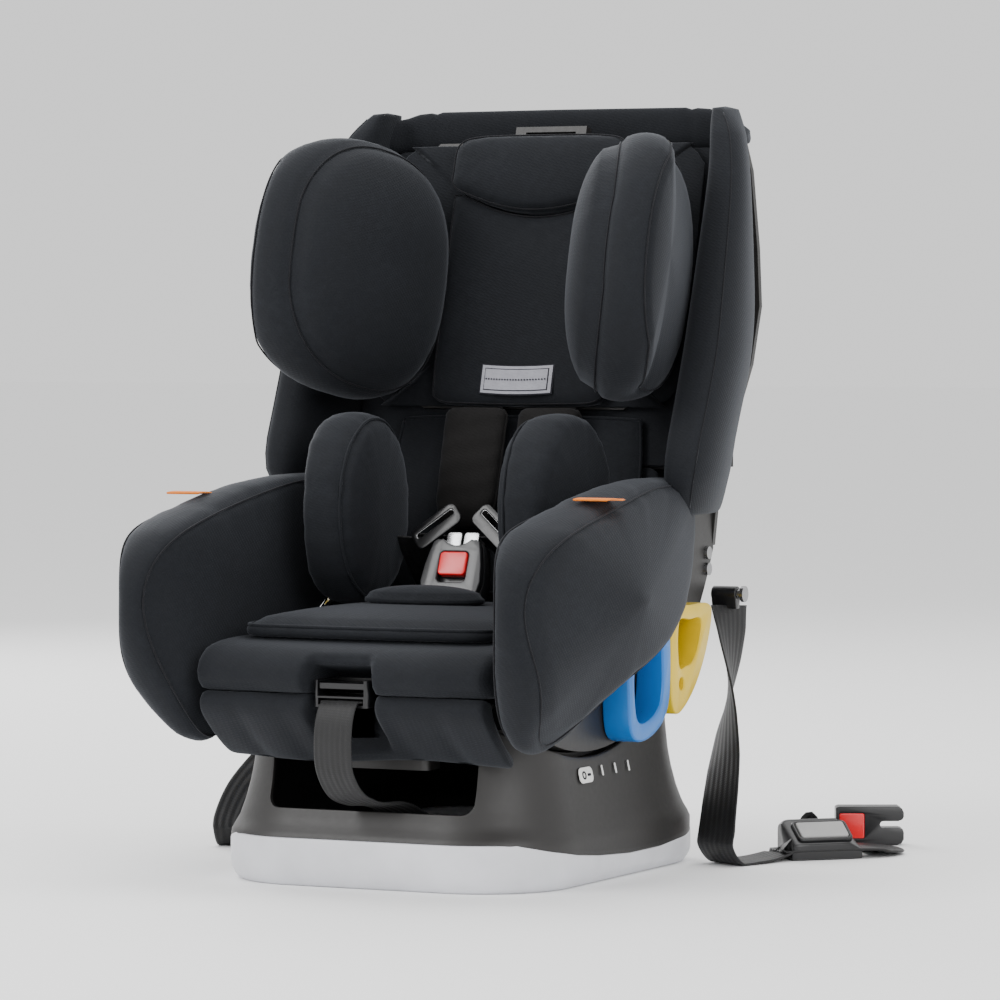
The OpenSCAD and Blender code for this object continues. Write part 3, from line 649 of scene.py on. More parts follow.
def headrest_wing(name, side):
    """A deep padded wing: a flaring inner panel, a wide crowned band and an outer panel."""
    ring = oval((-98, 256), (84, 105), 96)
    y, z = ring[:, 0], ring[:, 1]
    depth = np.clip((-18 - y) / 160, 0, 1)
    inner = np.stack([85 + 62 * depth ** 1.25, y, z], axis=1)
    outer_x = 150 + 34 * np.clip((-96 - y) / 60, 0, 1) ** 0.8
    outer = np.stack([outer_x, y * 0.985 - 2, 256 + (z - 256) * 0.985], axis=1)
    to_row = lambda p: on_back(mirrored(p, side))
    heading_a = to_row([-0.8, -0.6, 0.0]) - to_row([0.0, 0, 0])
    heading_b = to_row([1.0, -0.2, 0.0]) - to_row([0.0, 0, 0])
    obj = sewn_pad(name, to_row(inner), to_row(outer), to_row([86.0, -122, 256]), to_row([187.0, -140, 256]),
                   heading_a / np.linalg.norm(heading_a), heading_b / np.linalg.norm(heading_b), 38, 10, 8.5,
                   COVER,
                   "headrest", gather=0.35, waves=29)
    for label, seam in (("inner", inner), ("outer", outer)):
        line = piping(f"{name}_{label}_seam", to_row(spline(seam, 160)), 0.75, THREAD, "headrest")
    return obj


pair(headrest_wing, "headrest_wing", "headrest_wings")


def flat_pad(name, outline, front, back, puff, material, body, to_row, crown=2.5, gather=0.3, waves=17,
             rows=12,
             power=2.4):
    """A cushion from an outline in (x, z) of its own frame, between two depths. Its front rises by puff."""
    seam = spline(outline, 120)
    middle = seam.mean(axis=0)
    edge = front + puff
    a = np.stack([seam[:, 0], np.full(len(seam), edge), seam[:, 1]], axis=1)
    b = np.stack([middle[0] + (seam[:, 0] - middle[0]) * 0.99, np.full(len(seam), back - 0.6),
                  middle[1] + (seam[:, 1] - middle[1]) * 0.99], axis=1)
    pole_a = to_row([middle[0], front, middle[1]])
    pole_b = to_row([middle[0], back, middle[1]])
    n = to_row([0.0, -1.0, 0]) - to_row([0.0, 0, 0])
    obj = sewn_pad(name, to_row(a), to_row(b), pole_a, pole_b, n, -n, puff, 0.6, crown, material, body,
                   gather=gather, waves=waves, rows=rows, power=power, strips=5)
    return obj, to_row(a)


face_outline = rounded_rect(298, 236, 30, 0, 275)
face_cover, _ = flat_pad("headrest_face_cover", face_outline, -9.6, -5.3, 1.6, COVER, "headrest", on_back,
                         crown=0.8)
pad_outline = [(-76, 160), (-40, 157), (0, 156.5), (40, 157), (76, 160), (82, 180), (82.5, 250), (82, 330),
               (79, 345),
               (40, 330), (0, 324), (-40, 330), (-79, 345), (-82, 330), (-82.5, 250), (-82, 180)]
pad, pad_seam = flat_pad("headrest_face_pad", pad_outline, -24, -5.5, 5, COVER, "headrest", on_back)
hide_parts("headrest_pad")
pillow_outline = [(-81, 351), (-60, 341), (-30, 332), (0, 329), (30, 332), (60, 341), (81, 351), (83, 368),
                  (80, 388),
                  (60, 395), (0, 396), (-60, 395), (-80, 388), (-83, 368)]
pillow, pillow_seam = flat_pad("headrest_pillow_cover", pillow_outline, -36, -5.5, 10, COVER, "headrest",
                               on_back,
                               crown=2.0, gather=0.5)
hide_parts("headrest_pillow")
for label, seam in (("headrest_face_seam", pad_seam), ("headrest_pillow_seam", pillow_seam)):
    piping(label, seam, 0.7, THREAD, "headrest")


def curved_label():
    """The cloth label under the headrest: pale, with a dark double edge and a dotted fold line."""
    def plate(name, w, h, cz, lift, material):
        cols, rows = 25, 7
        pts = []
        for j in range(rows):
            for i in range(cols):
                x = -w / 2 + w * i / (cols - 1)
                zz = cz - h / 2 + h * j / (rows - 1) + 2.2 * (x / 35) ** 2
                pts.append((x, -25.4 - lift + 2.6 * (x / 35) ** 2, zz))
        front = on_back(pts)
        back = on_back([(x, y + 0.5, z) for x, y, z in pts])
        verts = [tuple(p) for p in front] + [tuple(p) for p in back]
        faces = grid_faces(rows, cols, False)
        faces += [tuple(reversed(f)) for f in grid_faces(rows, cols, False, len(pts))]
        n = len(pts)
        rim = list(range(cols)) + [j * cols + cols - 1 for j in range(1, rows)]
        rim += [(rows - 1) * cols + i for i in range(cols - 2, -1, -1)]
        rim += [j * cols for j in range(rows - 2, 0, -1)]
        faces += [(rim[k], rim[(k + 1) % len(rim)], rim[(k + 1) % len(rim)] + n, rim[k] + n)
                  for k in range(len(rim))]
        return link(name, verts, faces, material, "headrest", smooth=False)

    border = plate("headrest_label_edge", 70, 27, 176, 0.0, INK)
    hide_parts("headrest_label")
    plate("headrest_label_rim", 67, 24.5, 176, 0.35, LABEL)
    plate("headrest_label_line", 61, 19.5, 176, 0.7, INK)
    plate("headrest_label_cloth", 59.5, 18, 176, 1.05, LABEL)
    for k in range(22):
        x = -28 + 56 * k / 21
        centre = [x, -26.75 + 2.6 * (x / 35) ** 2, 176 + 2.2 * (x / 35) ** 2]
        dot = [(centre[0] + 0.75 * math.cos(a), centre[1], centre[2] + 0.75 * math.sin(a))
               for a in np.linspace(0, 2 * math.pi, 8, endpoint=False)]
        rings = [on_back(dot), on_back([(x1, y1 - 0.4, z1) for x1, y1, z1 in dot])]
        verts, faces = ring_mesh(rings)
        link(f"headrest_label_dot_{k:02d}", verts, faces, INK, "headrest", smooth=False)


curved_label()


# ---- Back: bolsters, top roll and cover ----

def slice_stack(name, slices, poles, material, body, gather, waves):
    """A padded form lofted through slices, with a pole at each end."""
    rings = pucker(slices, [0, len(slices) - 1], gather, waves)
    verts, faces = ring_mesh(rings, poles)
    return link(name, verts, faces, material, body)


def corner_slice(x0, x1, y0, y1, count=56, power=3.0, seam=None):
    """A rounded slice between two x and two y limits, pulled in a little at a seam angle."""
    ring = oval(((x0 + x1) / 2, (y0 + y1) / 2), ((x1 - x0) / 2, (y1 - y0) / 2), count, power)
    if seam is not None:
        middle = ring.mean(axis=0)
        k = int(round(seam * count)) % count
        for d, depth in ((-1, 0.25), (0, 1.0), (1, 0.25)):
            p = ring[(k + d) % count]
            ring[(k + d) % count] = p + (middle - p) / np.linalg.norm(middle - p) * 2.0 * depth
    return ring


BOLSTER_FRONT = ([300, 316, 334, 440, 489, 560, 591, 612, 626, 637, 645],
                 [196, 206, 217, 219, 213, 205, 200, 195, 189, 180, 172])
BOLSTER_REAR = ([300, 334, 377, 420, 472, 524, 591, 626, 645],
                [152, 156, 165, 178, 184, 181, 176, 173, 171])
BOLSTER_FACE = ([300, 334, 620, 645], [34, 9, 134, 152])
BOLSTER_INNER = ([600, 645], [163, 155])


def back_bolster(name, side):
    """The padding down one side of the back. Its outlines are tables of height and depth or width."""
    rings = []
    heights = np.concatenate([[300, 302, 307, 315, 325, 335, 348], np.linspace(362, 622, 25),
                              [628, 633, 637, 640.5, 643, 645]])
    for z in heights:
        t = max(0.0, z - 334) / 311
        end = min(1.0, math.sqrt(max(0.0, min(z - 298, 647 - z)) / 22))
        front_x = np.interp(z, *BOLSTER_FRONT)
        rear_x = np.interp(z, *BOLSTER_REAR)
        y0, y1 = np.interp(z, *BOLSTER_FACE) + 3 * math.sin(t * math.pi), 202
        unit = corner_slice(0, 1, 0, 1, power=2.6)
        x1 = front_x + (rear_x - front_x) * np.clip(unit[:, 1], 0, 1) ** 1.6
        x0 = np.minimum(np.interp(z, *BOLSTER_INNER), x1 - 16)
        ring = np.stack([x0 + (x1 - x0) * unit[:, 0], y0 + (y1 - y0) * unit[:, 1]], axis=1)
        centre = ring.mean(axis=0)
        ring = centre + (ring - centre) * (0.78 + 0.22 * end)
        rings.append(np.stack([ring[:, 0], ring[:, 1], np.full(len(ring), z)], axis=1))
    rings = np.array(rings)
    for _ in range(3):
        rings[1:-1, :, :2] = (rings[:-2, :, :2] + 2 * rings[1:-1, :, :2] + rings[2:, :, :2]) / 4
    rings = mirrored(rings, side)
    ends = (rings[0].mean(axis=0) - [0, 0, 1.5], rings[-1].mean(axis=0) + [0, 0, 2.0])
    obj = slice_stack(name, rings, ends, COVER, "seat", gather=0.4, waves=5)
    count = rings.shape[1]
    line = piping(f"{name}_seam", rings[2:-2, int(round(0.82 * count)) % count], 0.7, THREAD, "seat",
                  closed=False)
    return obj


pair(back_bolster, "back_bolster", "back_bolsters")


def top_roll():
    """The roll along the top of the back, sewn from three lengths."""
    rings = []
    for x in np.concatenate([[-178, -176.5, -173], np.linspace(-168, 168, 61), [173, 176.5, 178]]):
        z_top = np.interp(abs(x), [0, 122, 141, 160, 180], [648, 647.6, 646, 640, 630])
        z_low = 612
        y0, y1 = np.interp(abs(x), [0, 153, 164, 180], [190, 190, 165, 168]), 202.5
        near = min(abs(abs(x) - 123), 40)
        nip = 1.6 * math.exp(-(near / 2.6) ** 2)
        swell = 1.2 * (1 - math.exp(-(near / 14) ** 2))
        ring = oval(((y0 + y1) / 2, (z_low + z_top) / 2), ((y1 - y0) / 2 - nip + swell * 0.3,
                    (z_top - z_low) / 2 - nip), 48, 2.7)
        end = 0.55 + 0.45 * math.sqrt(min(1.0, (180 - abs(x)) / 14))
        c = ring.mean(axis=0)
        ring = c + (ring - c) * end
        rings.append(np.stack([np.full(len(ring), x), ring[:, 0], ring[:, 1]], axis=1))
    rings = np.array(rings)
    ends = (rings[0].mean(axis=0) - [1.5, 0, 0], rings[-1].mean(axis=0) + [1.5, 0, 0])
    obj = slice_stack("back_top_roll", rings, ends, COVER, "seat", gather=0.5, waves=4)
    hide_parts("top_border")


top_roll()

cover_outline = rounded_rect(318, 282, 14, 0, 249.5)
slot_hole = rounded_rect(56, 223, 8, 0, 277)
upper_cover = extruded("back_cover_upper", cover_outline, 0.6, 6.5, "y", COVER, bevel=2.2, holes=[slot_hole])
moved(upper_cover, BACK_M)
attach(upper_cover, "seat")
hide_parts("back_cover")
lower_cover = extruded("back_cover_lower", rounded_rect(267, 178, 12, 0, 17.5), 0.6, 6.5, "y", COVER,
                       bevel=2.2)
moved(lower_cover, BACK_M)
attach(lower_cover, "seat")


# ---- Hip wings ----

WING_SIDE = [(-176, 106), (-214, 124), (-248, 166), (-272, 214), (-276, 245), (-264, 272), (-238, 291),
             (-185, 303),
             (-130, 313), (-75, 322), (-20, 329), (30, 330), (70, 330), (106, 325), (98, 292), (62, 244),
             (4, 204),
             (-60, 181), (-118, 158), (-150, 128)]


def hip_wing(name, side):
    """The tall padded side of the seat, an inner panel, a broad crowned band and an outer panel."""
    ring = spline(WING_SIDE, 132)
    heart = np_v([-110.0, 240.0])
    ring = heart + (ring - heart) * 0.975
    y, z = ring[:, 0], ring[:, 1]
    top_in = np.interp(y, [-282, -268, -225, -160, 115], [174, 158, 140, 145, 147])
    top_out = np.interp(y, [-282, -262, -215, -170, -80, 20, 80, 115],
                        [186, 208, 222, 225, 222, 212, 196, 182])
    low_out = np.interp(z, [96, 130, 175, 220, 270, 320, 335], [160, 190, 216, 225, 225, 212, 192])
    inner_x = np.maximum(top_in, np.interp(z, [96, 160], [136, 131]))
    outer_x = np.maximum(np.minimum(top_out, low_out) - 19, inner_x + 8)
    inner = softened(np.stack([inner_x, y, z], axis=1), 0.03)
    outer = softened(np.stack([outer_x, y * 0.985, 240 + (z - 240) * 0.975], axis=1), 0.03)
    row = lambda p: mirrored(p, side)
    obj = sewn_pad(name, row(inner), row(outer), row([141.0, -110, 240]), row([223.0, -120, 236]),
                   row([-1.0, 0, 0]), row([1.0, 0, 0]), 9, 15, 9, COVER, "seat", gather=0.9, waves=19,
                   power=2.2, rows=16, strips=9)
    for label, seam in (("inner", inner), ("outer", outer)):
        line = piping(f"{name}_{label}_seam", row(spline(seam, 220)), 0.8, THREAD, "seat")
    return obj


pair(hip_wing, "hip_wing", "hip_wings")


# ---- Seat cushion, apron and insert ----

def profile_loft(name, outline, half_width, material, columns, shape, count=72, end=10.0):
    """A padded piece lofted across x from an outline in (y, z). shape(x, points) makes the local changes."""
    base = spline(outline, count)
    middle = base.mean(axis=0)
    xs = np.linspace(-half_width, half_width, columns)
    near_ends = [s * (half_width - d) for s in (-1, 1) for d in (0.6, 2.0, 4.0, 7.0)]
    xs = np.unique(np.concatenate([xs, near_ends]))
    rings = []
    for x in xs:
        inset = min(1.0, (half_width - abs(x)) / end)
        k = 1 - 0.10 * (1 - math.sqrt(1 - (1 - inset) ** 2))
        ring = shape(x, middle + (base - middle) * k)
        rings.append(np.stack([np.full(count, x), ring[:, 0], ring[:, 1]], axis=1))
    rings = np.array(rings)
    verts, faces = ring_mesh(rings, (rings[0].mean(axis=0), rings[-1].mean(axis=0)))
    return link(name, verts, faces, material, "seat")


def notched(x, ring, half, y_back, z_limit, soft=7.0):
    """Pushes the front of a ring back round the harness adjuster."""
    k = 1 / (1 + math.exp((abs(x) - half - soft / 2) / (soft / 6)))
    ring = ring.copy()
    front = (ring[:, 0] < y_back) & (ring[:, 1] < z_limit + 30)
    drop = 1 / (1 + np.exp((ring[:, 1] - z_limit) / 2.0))
    ring[front, 0] += (y_back - ring[front, 0]) * k * drop[front]
    return ring


CUSHION = [(-222, 163), (-229, 171), (-229, 181), (-221, 191), (-205, 198), (-165, 202), (-100, 202),
           (-40, 201.5),
           (20, 200.5), (52, 198), (57, 190), (57, 172), (50, 161.5), (0, 160.8), (-60, 160.8),
           (-120, 160.8),
           (-170, 160.8), (-205, 160.8)]


def cushion_shape(x, ring):
    ring = ring.copy()
    crown = 5.0 * (1 - (x / 134) ** 2)
    ring[:, 0] -= crown * np.clip((-180 - ring[:, 0]) / 40, 0, 1)
    wave = 0.8 * math.sin(x / 17.0 + 0.6) + 0.5 * math.sin(x / 7.3)
    front = np.exp(-((ring[:, 0] + 226) / 14) ** 2)
    ring[:, 0] += wave * front * 0.8
    return notched(x, ring, 25, -181.5, 183)


cushion = profile_loft("seat_cushion_cover", CUSHION, 134, COVER, 110, cushion_shape)
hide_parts("seat_cushion")

APRON = [(-223, 160.3), (-228, 153), (-224, 143), (-207, 127), (-190, 114), (-176, 105.5), (-169, 104.5),
         (-169, 110), (-186, 123), (-199, 136), (-209, 149), (-213, 159), (-218, 160.4)]


def apron_shape(x, ring):
    """Soft hanging folds that grow towards the lower edge."""
    ring = ring.copy()
    low = np.clip((162 - ring[:, 1]) / 55, 0, 1)
    folds = 0.0
    for place, depth, width in ((-96, 4.2, 9), (-52, 3.4, 10), (-8, 1.6, 12), (44, 3.8, 10), (88, 4.4, 9)):
        folds += depth * math.exp(-((x - place) / width) ** 2)
    lean = 0.25 * math.sin(x / 9.0)
    out = ring[:, 0] < -172
    ring[out, 0] += (folds * low * 0.9 + lean)[out]
    ring[:, 1] += 2.0 * math.sin(x / 31.0) * low
    return notched(x, ring, 25, -186, 300)


apron = profile_loft("front_apron_cover", APRON, 129, COVER, 110, apron_shape, count=60, end=6.0)
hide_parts("front_apron")


def plan_pad(name, outline, z_low, z_top, puff, material, crown, gather, waves):
    """A cushion lying down: an outline in (x, y), a top panel that rises by puff, and a crowned side."""
    seam = spline(outline, 140)
    middle = seam.mean(axis=0)
    a = np.stack([seam[:, 0], seam[:, 1], np.full(len(seam), float(z_top - puff))], axis=1)
    b = np.stack([seam[:, 0], seam[:, 1], np.full(len(seam), z_low + 0.4)], axis=1)
    obj = sewn_pad(name, a, b, (*middle, z_top), (*middle, z_low), (0, 0, 1.0), (0, 0, -1.0), puff, 0.4,
                   crown, material, "seat", gather=gather, waves=waves, strips=5)
    return obj, a


INSERT = [(-108, 46), (-60, 52), (0, 53), (60, 52), (108, 46), (118, 20), (120, -60), (118, -140),
          (106, -180),
          (60, -188), (0, -190), (-60, -188), (-106, -180), (-118, -140), (-120, -60), (-118, 20)]
insert, insert_seam = plan_pad("seat_insert_cushion", INSERT, 203.5, 228, 15, COVER, 6.0, gather=0.8,
                               waves=27)
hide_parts("seat_insert_pad")
piping("seat_insert_piping", insert_seam, 1.5, COVER, "seat")
DOME = [(54 * math.cos(a), -74 + 25 * math.sin(a)) for a in np.linspace(0, 2 * math.pi, 20, endpoint=False)]
dome, _ = plan_pad("crotch_cushion", DOME, 227.8, 243, 10, COVER, 2.0, gather=0.6, waves=11)
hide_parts("crotch_pad")
back_outline = [(-112, -4), (0, -7), (112, -4), (117, 20), (119, 80), (114, 138), (104, 147), (0, 149),
                (-104, 147),
                (-114, 138), (-119, 80), (-117, 20)]
back_pad, back_seam = flat_pad("back_insert_cushion", back_outline, -9.5, -0.2, 5, COVER, "seat", on_back,
                               crown=1.5,
                               gather=0.7, waves=23)
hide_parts("back_insert_pad")
piping("back_insert_piping", back_seam, 1.3, COVER, "seat")


def side_insert(name, side):
    """The newborn insert's side pad: a thick bean standing against the side of the back."""
    ring = oval((-18, 304), (63, 76), 110, 2.15)
    y, z = ring[:, 0], ring[:, 1]
    inner = np.stack([np.interp(y, [-82, -50, 49], [76, 74, 79]), y, z], axis=1)
    outer = np.stack([np.interp(y, [-85, -60, 49], [110, 115, 117]), y, z], axis=1)
    row = lambda p: mirrored(p, side)
    obj = sewn_pad(name, row(inner), row(outer), row([60.0, -38, 304]), row([121.0, -12, 304]),
                   row([-1.0, 0, 0]),
                   row([1.0, 0, 0]), 16, 4, 5.5, COVER, "seat", gather=0.8, waves=17, power=2.2)
    line = piping(f"{name}_seam", row(spline(inner, 160)), 1.2, COVER, "seat")
    return obj


pair(side_insert, "side_insert", "side_insert_pads")


def chest_pad(name, side):
    """A soft sleeve round the shoulder strap, wider at the top, with sewn long edges."""
    rings = []
    for z in np.concatenate([[46, 46.6, 48, 51], np.linspace(56, 146, 26), [149, 150.6, 151.2]]):
        w = np.interp(z, [46, 52, 70, 151], [19, 24, 28, 29])
        thick = np.interp(z, [46, 50, 60, 120, 151], [5.0, 8.0, 10.2, 9.8, 8.2])
        y = np.interp(z, [46, 60, 151], [-21, -22, -21])
        a = np.linspace(0, 2 * math.pi, 44, endpoint=False)
        u = np.sign(np.cos(a)) * np.abs(np.cos(a)) ** 0.62
        v = np.sign(np.sin(a)) * np.abs(np.sin(a)) ** 0.85
        end = min(1.0, 0.72 + 0.28 * math.sqrt(max(0.0, min(z - 45.5, 151.7 - z)) / 5))
        depth = y + thick * v * end + 0.35 * np.sin(z / 3.1 + a * 2)
        rings.append(np.stack([35 + w * u * end, depth, np.full(len(a), z)], axis=1))
    rings = mirrored(on_back(np.array(rings)), side)
    ends = (rings[0].mean(axis=0), rings[-1].mean(axis=0))
    obj = slice_stack(name, rings, ends, PAD_BLACK, "seat", gather=0.25, waves=3)
    n = rings.shape[1]
    for label, k in (("outer", 0), ("inner", n // 2)):
        piping(f"{name}_{label}_edge", rings[1:-1, k], 1.1, PAD_BLACK, "seat", closed=False)
    return obj


pair(chest_pad, "chest_pad", "chest_pads")


# ---- Buckle, tongues and harness adjuster ----

BUCKLE_M = placed(0, -26, 218, -22.0, "X")


def on_frame(obj, matrix, body, *nodes, slot=None):
    moved(obj, matrix)
    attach(obj, body)
    if nodes:
        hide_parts(*nodes)
    return obj


def buckle_outline():
    """Two rounded legs below, a swelling body and a scooped head."""
    right = [(17, 15), (17.5, 8), (21, 6), (24, 9), (26.5, 16), (28, 24), (26.5, 38), (23.5, 52), (21.5, 59),
             (18, 61.5), (15.2, 61)]
    scoop = arc(0, 74, 18, -42, -138, 15)
    left = [(-x, z) for x, z in right[::-1]]
    return right + scoop + left


BUTTON_HOLE = rounded_rect(26.8, 27.2, 4, 0, 36.8)
front_plate = extruded("buckle_front_cover", buckle_outline(), -11, -3.4, "y", GUNMETAL, bevel=2.2,
                       holes=[BUTTON_HOLE])
on_frame(front_plate, BUCKLE_M, "seat", "buckle_housing", slot="buckle_metal")
rear_plate = extruded("buckle_rear_cover", buckle_outline(), -3.0, 10.5, "y", GUNMETAL, bevel=2.6)
on_frame(rear_plate, BUCKLE_M, "seat", slot="buckle_metal")
button = extruded("buckle_red_button", rounded_rect(25.8, 20.8, 3.6, 0, 39.5), -12.2, -4, "y", RED,
                  bevel=1.4)
on_frame(button, BUCKLE_M, "buckle_button", "buckle_button", slot="red_plastic")

for side_name, side in (("right", 1), ("left", -1)):
    plate = extruded(f"tongue_loop_{side_name}", rounded_rect(46, 21, 6, 0, 8), -1.5, 1.5, "y", GLOSS_BLACK,
                     bevel=0.9, holes=[rounded_rect(38.5, 5.4, 2.5, 0, 10.5)])
    turn = placed(22 * side, 0, 70, 40.0 * side, "Y")
    on_frame(plate, BUCKLE_M @ turn, "seat", slot="black_plastic")
    rim = extruded(f"tongue_edge_{side_name}", rounded_rect(45, 20, 5.5, 0, 8), -0.7, 0.7, "y", CHROME,
                   bevel=0.4, holes=[rounded_rect(37.5, 4.6, 2.2, 0, 10.5)])
    on_frame(rim, BUCKLE_M @ turn, "seat", slot="steel")
    blade = extruded(f"tongue_blade_{side_name}", rounded_rect(14, 22, 3, 8 * side, 60), -1, 1, "y", CHROME,
                     bevel=0.5)
    on_frame(blade, BUCKLE_M, "seat", *(["buckle_tongues"] if side > 0 else []), slot="steel")


# ---- Base ----

def rounded_loop(hx, hy, r, stops):
    """Points round a rounded rectangle at shared stops, so that loops of several sizes match."""
    pts = []
    for kind, quadrant, t in stops:
        sx, sy = ((1, 1), (-1, 1), (-1, -1), (1, -1))[quadrant]
        if kind == "corner":
            a = math.radians(90 * quadrant + 90 * t)
            pts.append((sx * (hx - r) + r * math.cos(a), sy * (hy - r) + r * math.sin(a)))
        elif quadrant == 0:
            pts.append(((hx - r) * (1 - 2 * t), hy))
        elif quadrant == 1:
            pts.append((-hx, (hy - r) * (1 - 2 * t)))
        elif quadrant == 2:
            pts.append((-(hx - r) * (1 - 2 * t), -hy))
        else:
            pts.append((hx, -(hy - r) * (1 - 2 * t)))
    return np.array(pts)


def loop_stops(corner=16, straight=26):
    stops = []
    for quadrant in range(4):
        stops += [("corner", quadrant, t) for t in np.linspace(0, 1, corner, endpoint=False)]
        stops += [("side", quadrant, t) for t in np.linspace(0, 1, straight, endpoint=False)]
    return stops


STOPS = loop_stops()


PARTING = ([-190, -165, -140, -100, -60, 0, 60, 110, 150, 190],
           [40, 40, 34, 27.5, 23.5, 20, 20, 24, 30, 34])


def parting(y):
    """Height of the line between the light band and the pedestal, which dips along the sides."""
    return np.interp(y, *PARTING)


def base_skirt():
    """The light band: a rounded foot, a plain wall and a soft upper edge."""
    profile = [(0, 9), (0.5, 7.5), (2, 5.6), (5, 3.2), (10, 1.2), (16, 0.2), (22, 0), (30, 0), (37.5, 0),
               (39.0, 0.35),
               (39.8, 1.2), (40, 2.2), (40, 9), (40, 16.0), (30, 16.6), (6, 16.9), (1.0, 16.6), (0.3, 15)]
    rings = []
    for z, inset in profile:
        loop = rounded_loop(155 - inset, 190 - inset, 85 - inset, STOPS)
        level = z if z <= 5 else 5 + (z - 5) * (parting(loop[:, 1]) - 5) / 35
        rings.append(np.column_stack([loop, np.full(len(loop), level)]))
    rings.append(rings[0])
    rings = np.array(rings)
    verts = [tuple(p) for ring in rings for p in ring]
    obj = link("base_light_skirt", verts, grid_faces(len(rings), rings.shape[1], True), BAND, "base")
    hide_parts("base_skirt")


base_skirt()


def base_section(z, inset):
    """Half sizes and corner radius of the pedestal at a height."""
    heights = [40.2, 52, 66, 82, 97, 120, 148]
    hx = [154.5, 149, 145, 141.5, 139, 137, 136]
    hy = [189.5, 182, 177, 172.5, 170, 167.5, 165]
    r = [84.5, 81, 79, 76.5, 75, 73.5, 72]
    return tuple(float(np.interp(z, heights, v)) - inset for v in (hx, hy, r))


def rocker_edge(y):
    """Height of the pedestal's rim under the rocker."""
    return min(148.0, 385 - math.sqrt(max(0.0, 283.0 ** 2 - (y + 45) ** 2)))


def pedestal():
    """The dark pedestal: a flared wall with a rounded rim and the front opening."""
    rows = 22
    loops = {}
    for inset in (0.0, 4.0):
        rings = []
        fine = loop_stops(28, 40)
        for j in range(rows + 1):
            ring = []
            for stop in fine:
                low = rounded_loop(*base_section(60, inset), [stop])[0]
                foot = parting(low[1]) + 0.2
                z = foot + (rocker_edge(low[1]) - foot) * (j / rows)
                p = rounded_loop(*base_section(z, inset), [stop])[0]
                ring.append((p[0], p[1], z))
            rings.append(ring)
        loops[inset] = np.array(rings)
    outer, inner = loops[0.0], loops[4.0]
    cols = outer.shape[1]
    lip_mid = (outer[-1] + inner[-1]) / 2 + [0, 0, 1.3]
    lip_a = outer[-1] * 0.85 + inner[-1] * 0.15 + [0, 0, 0.8]
    lip_b = outer[-1] * 0.15 + inner[-1] * 0.85 + [0, 0, 0.8]
    stack = list(outer) + [lip_a, lip_mid, lip_b] + list(inner[::-1]) + [outer[0]]
    verts = [tuple(p) for ring in stack for p in ring]
    obj = link("base_pedestal_wall", verts, grid_faces(len(stack), cols, True), BASE, None)
    cut_shape = [(-94, 240), (-94, 73)] + arc(-84, 73, 10, 180, 270, 9)[1:] + arc(84, 73, 10, 270, 360,
                                                                                  9) + [(94, 240)]
    cutter = extruded("opening_cutter", cut_shape, -240, -118, "y", CAVITY)
    cut = obj.modifiers.new("opening", "BOOLEAN")
    cut.operation = "DIFFERENCE"
    cut.object = cutter
    cut.solver = "EXACT"
    apply_modifiers(obj)
    bpy.data.objects.remove(cutter)
    bevelled(obj, 1.1, segments=2, angle=50)
    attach(obj, "base")
    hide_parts("base_pedestal")


pedestal()


def recline_marks():
    """The generic recline scale: a pale rounded tag with a ring, and small bars up the slope."""
    def tag(name, w, h, r, y, z, lift, material, hole=None):
        obj = extruded(name, rounded_rect(w, h, r), 0.0, 0.7, "x", material, bevel=0.2,
                       holes=[hole] if hole else [])
        return on_frame(obj, placed(141.4 + lift, y, z, -13.0, "Y"), "base", slot="print")

    plate = tag("recline_tag", 26, 13, 5, -60, 89, 0.0, PRINT)
    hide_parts("recline_scale_label")
    tag("recline_tag_ring", 7, 7, 3.4, -64, 89, 0.5, INK, rounded_rect(4.2, 4.2, 2.05))
    tag("recline_tag_bar", 6, 2.2, 1.0, -54.5, 89, 0.5, INK)
    for k in range(3):
        tag(f"recline_mark_{k}", 2.4, 9, 1.1, -28 + 26 * k, 90.5, 0.0, PRINT)


recline_marks()


# ---- Belt guides ----

def guide(name, side, outline, holes, material, slot_name, nodes=()):
    """A moulded loop on the shell's side, fully rounded."""
    shape = [tuple(p) for p in spline(outline, 72)]
    cuts = [[tuple(p) for p in spline(h, 44)] for h in holes]
    obj = extruded(name, shape, 140.5, 166, "x", material, bevel=3.4, holes=cuts)
    if side < 0:
        moved(obj, Matrix.Scale(-1, 4, Vector((1, 0, 0))))
        tidy_normals(obj)
    on_frame(obj, Matrix.Identity(4), "seat", *nodes, slot=slot_name)


BLUE_OUT = [(-26, 184), (10, 197), (50, 209), (57, 196), (56, 150), (44, 128), (20, 116), (-6, 113),
            (-22, 122), (-27, 150)]
BLUE_EYE = [(-14, 174), (10, 184), (36, 193), (41, 180), (40, 153), (32, 138), (14, 130), (-4, 129),
            (-13, 140)]
YELLOW_OUT = [(62, 219), (100, 222), (138, 221), (142, 206), (128, 176), (104, 148), (74, 131), (60, 142),
              (58, 180)]
YELLOW_EYE = [(75, 208), (98, 209.5), (120, 209), (119, 194), (106, 175), (90, 170.5), (75, 172)]
YELLOW_HOLE = [(80 + 5.2 * math.cos(a), 156 + 5.2 * math.sin(a)) for a in np.linspace(0, 2 * math.pi, 12,
                                                                                      endpoint=False)]
for side_name, side in (("right", 1), ("left", -1)):
    guide(f"rear_facing_guide_{side_name}", side, BLUE_OUT, [BLUE_EYE], BLUE, "guide_blue",
          ["rear_facing_guides"] if side > 0 else [])
    guide(f"forward_facing_guide_{side_name}", side, YELLOW_OUT, [YELLOW_EYE, YELLOW_HOLE], YELLOW,
          "guide_yellow",
          ["forward_facing_guides"] if side > 0 else [])


# ---- Strap adjusters and connectors ----

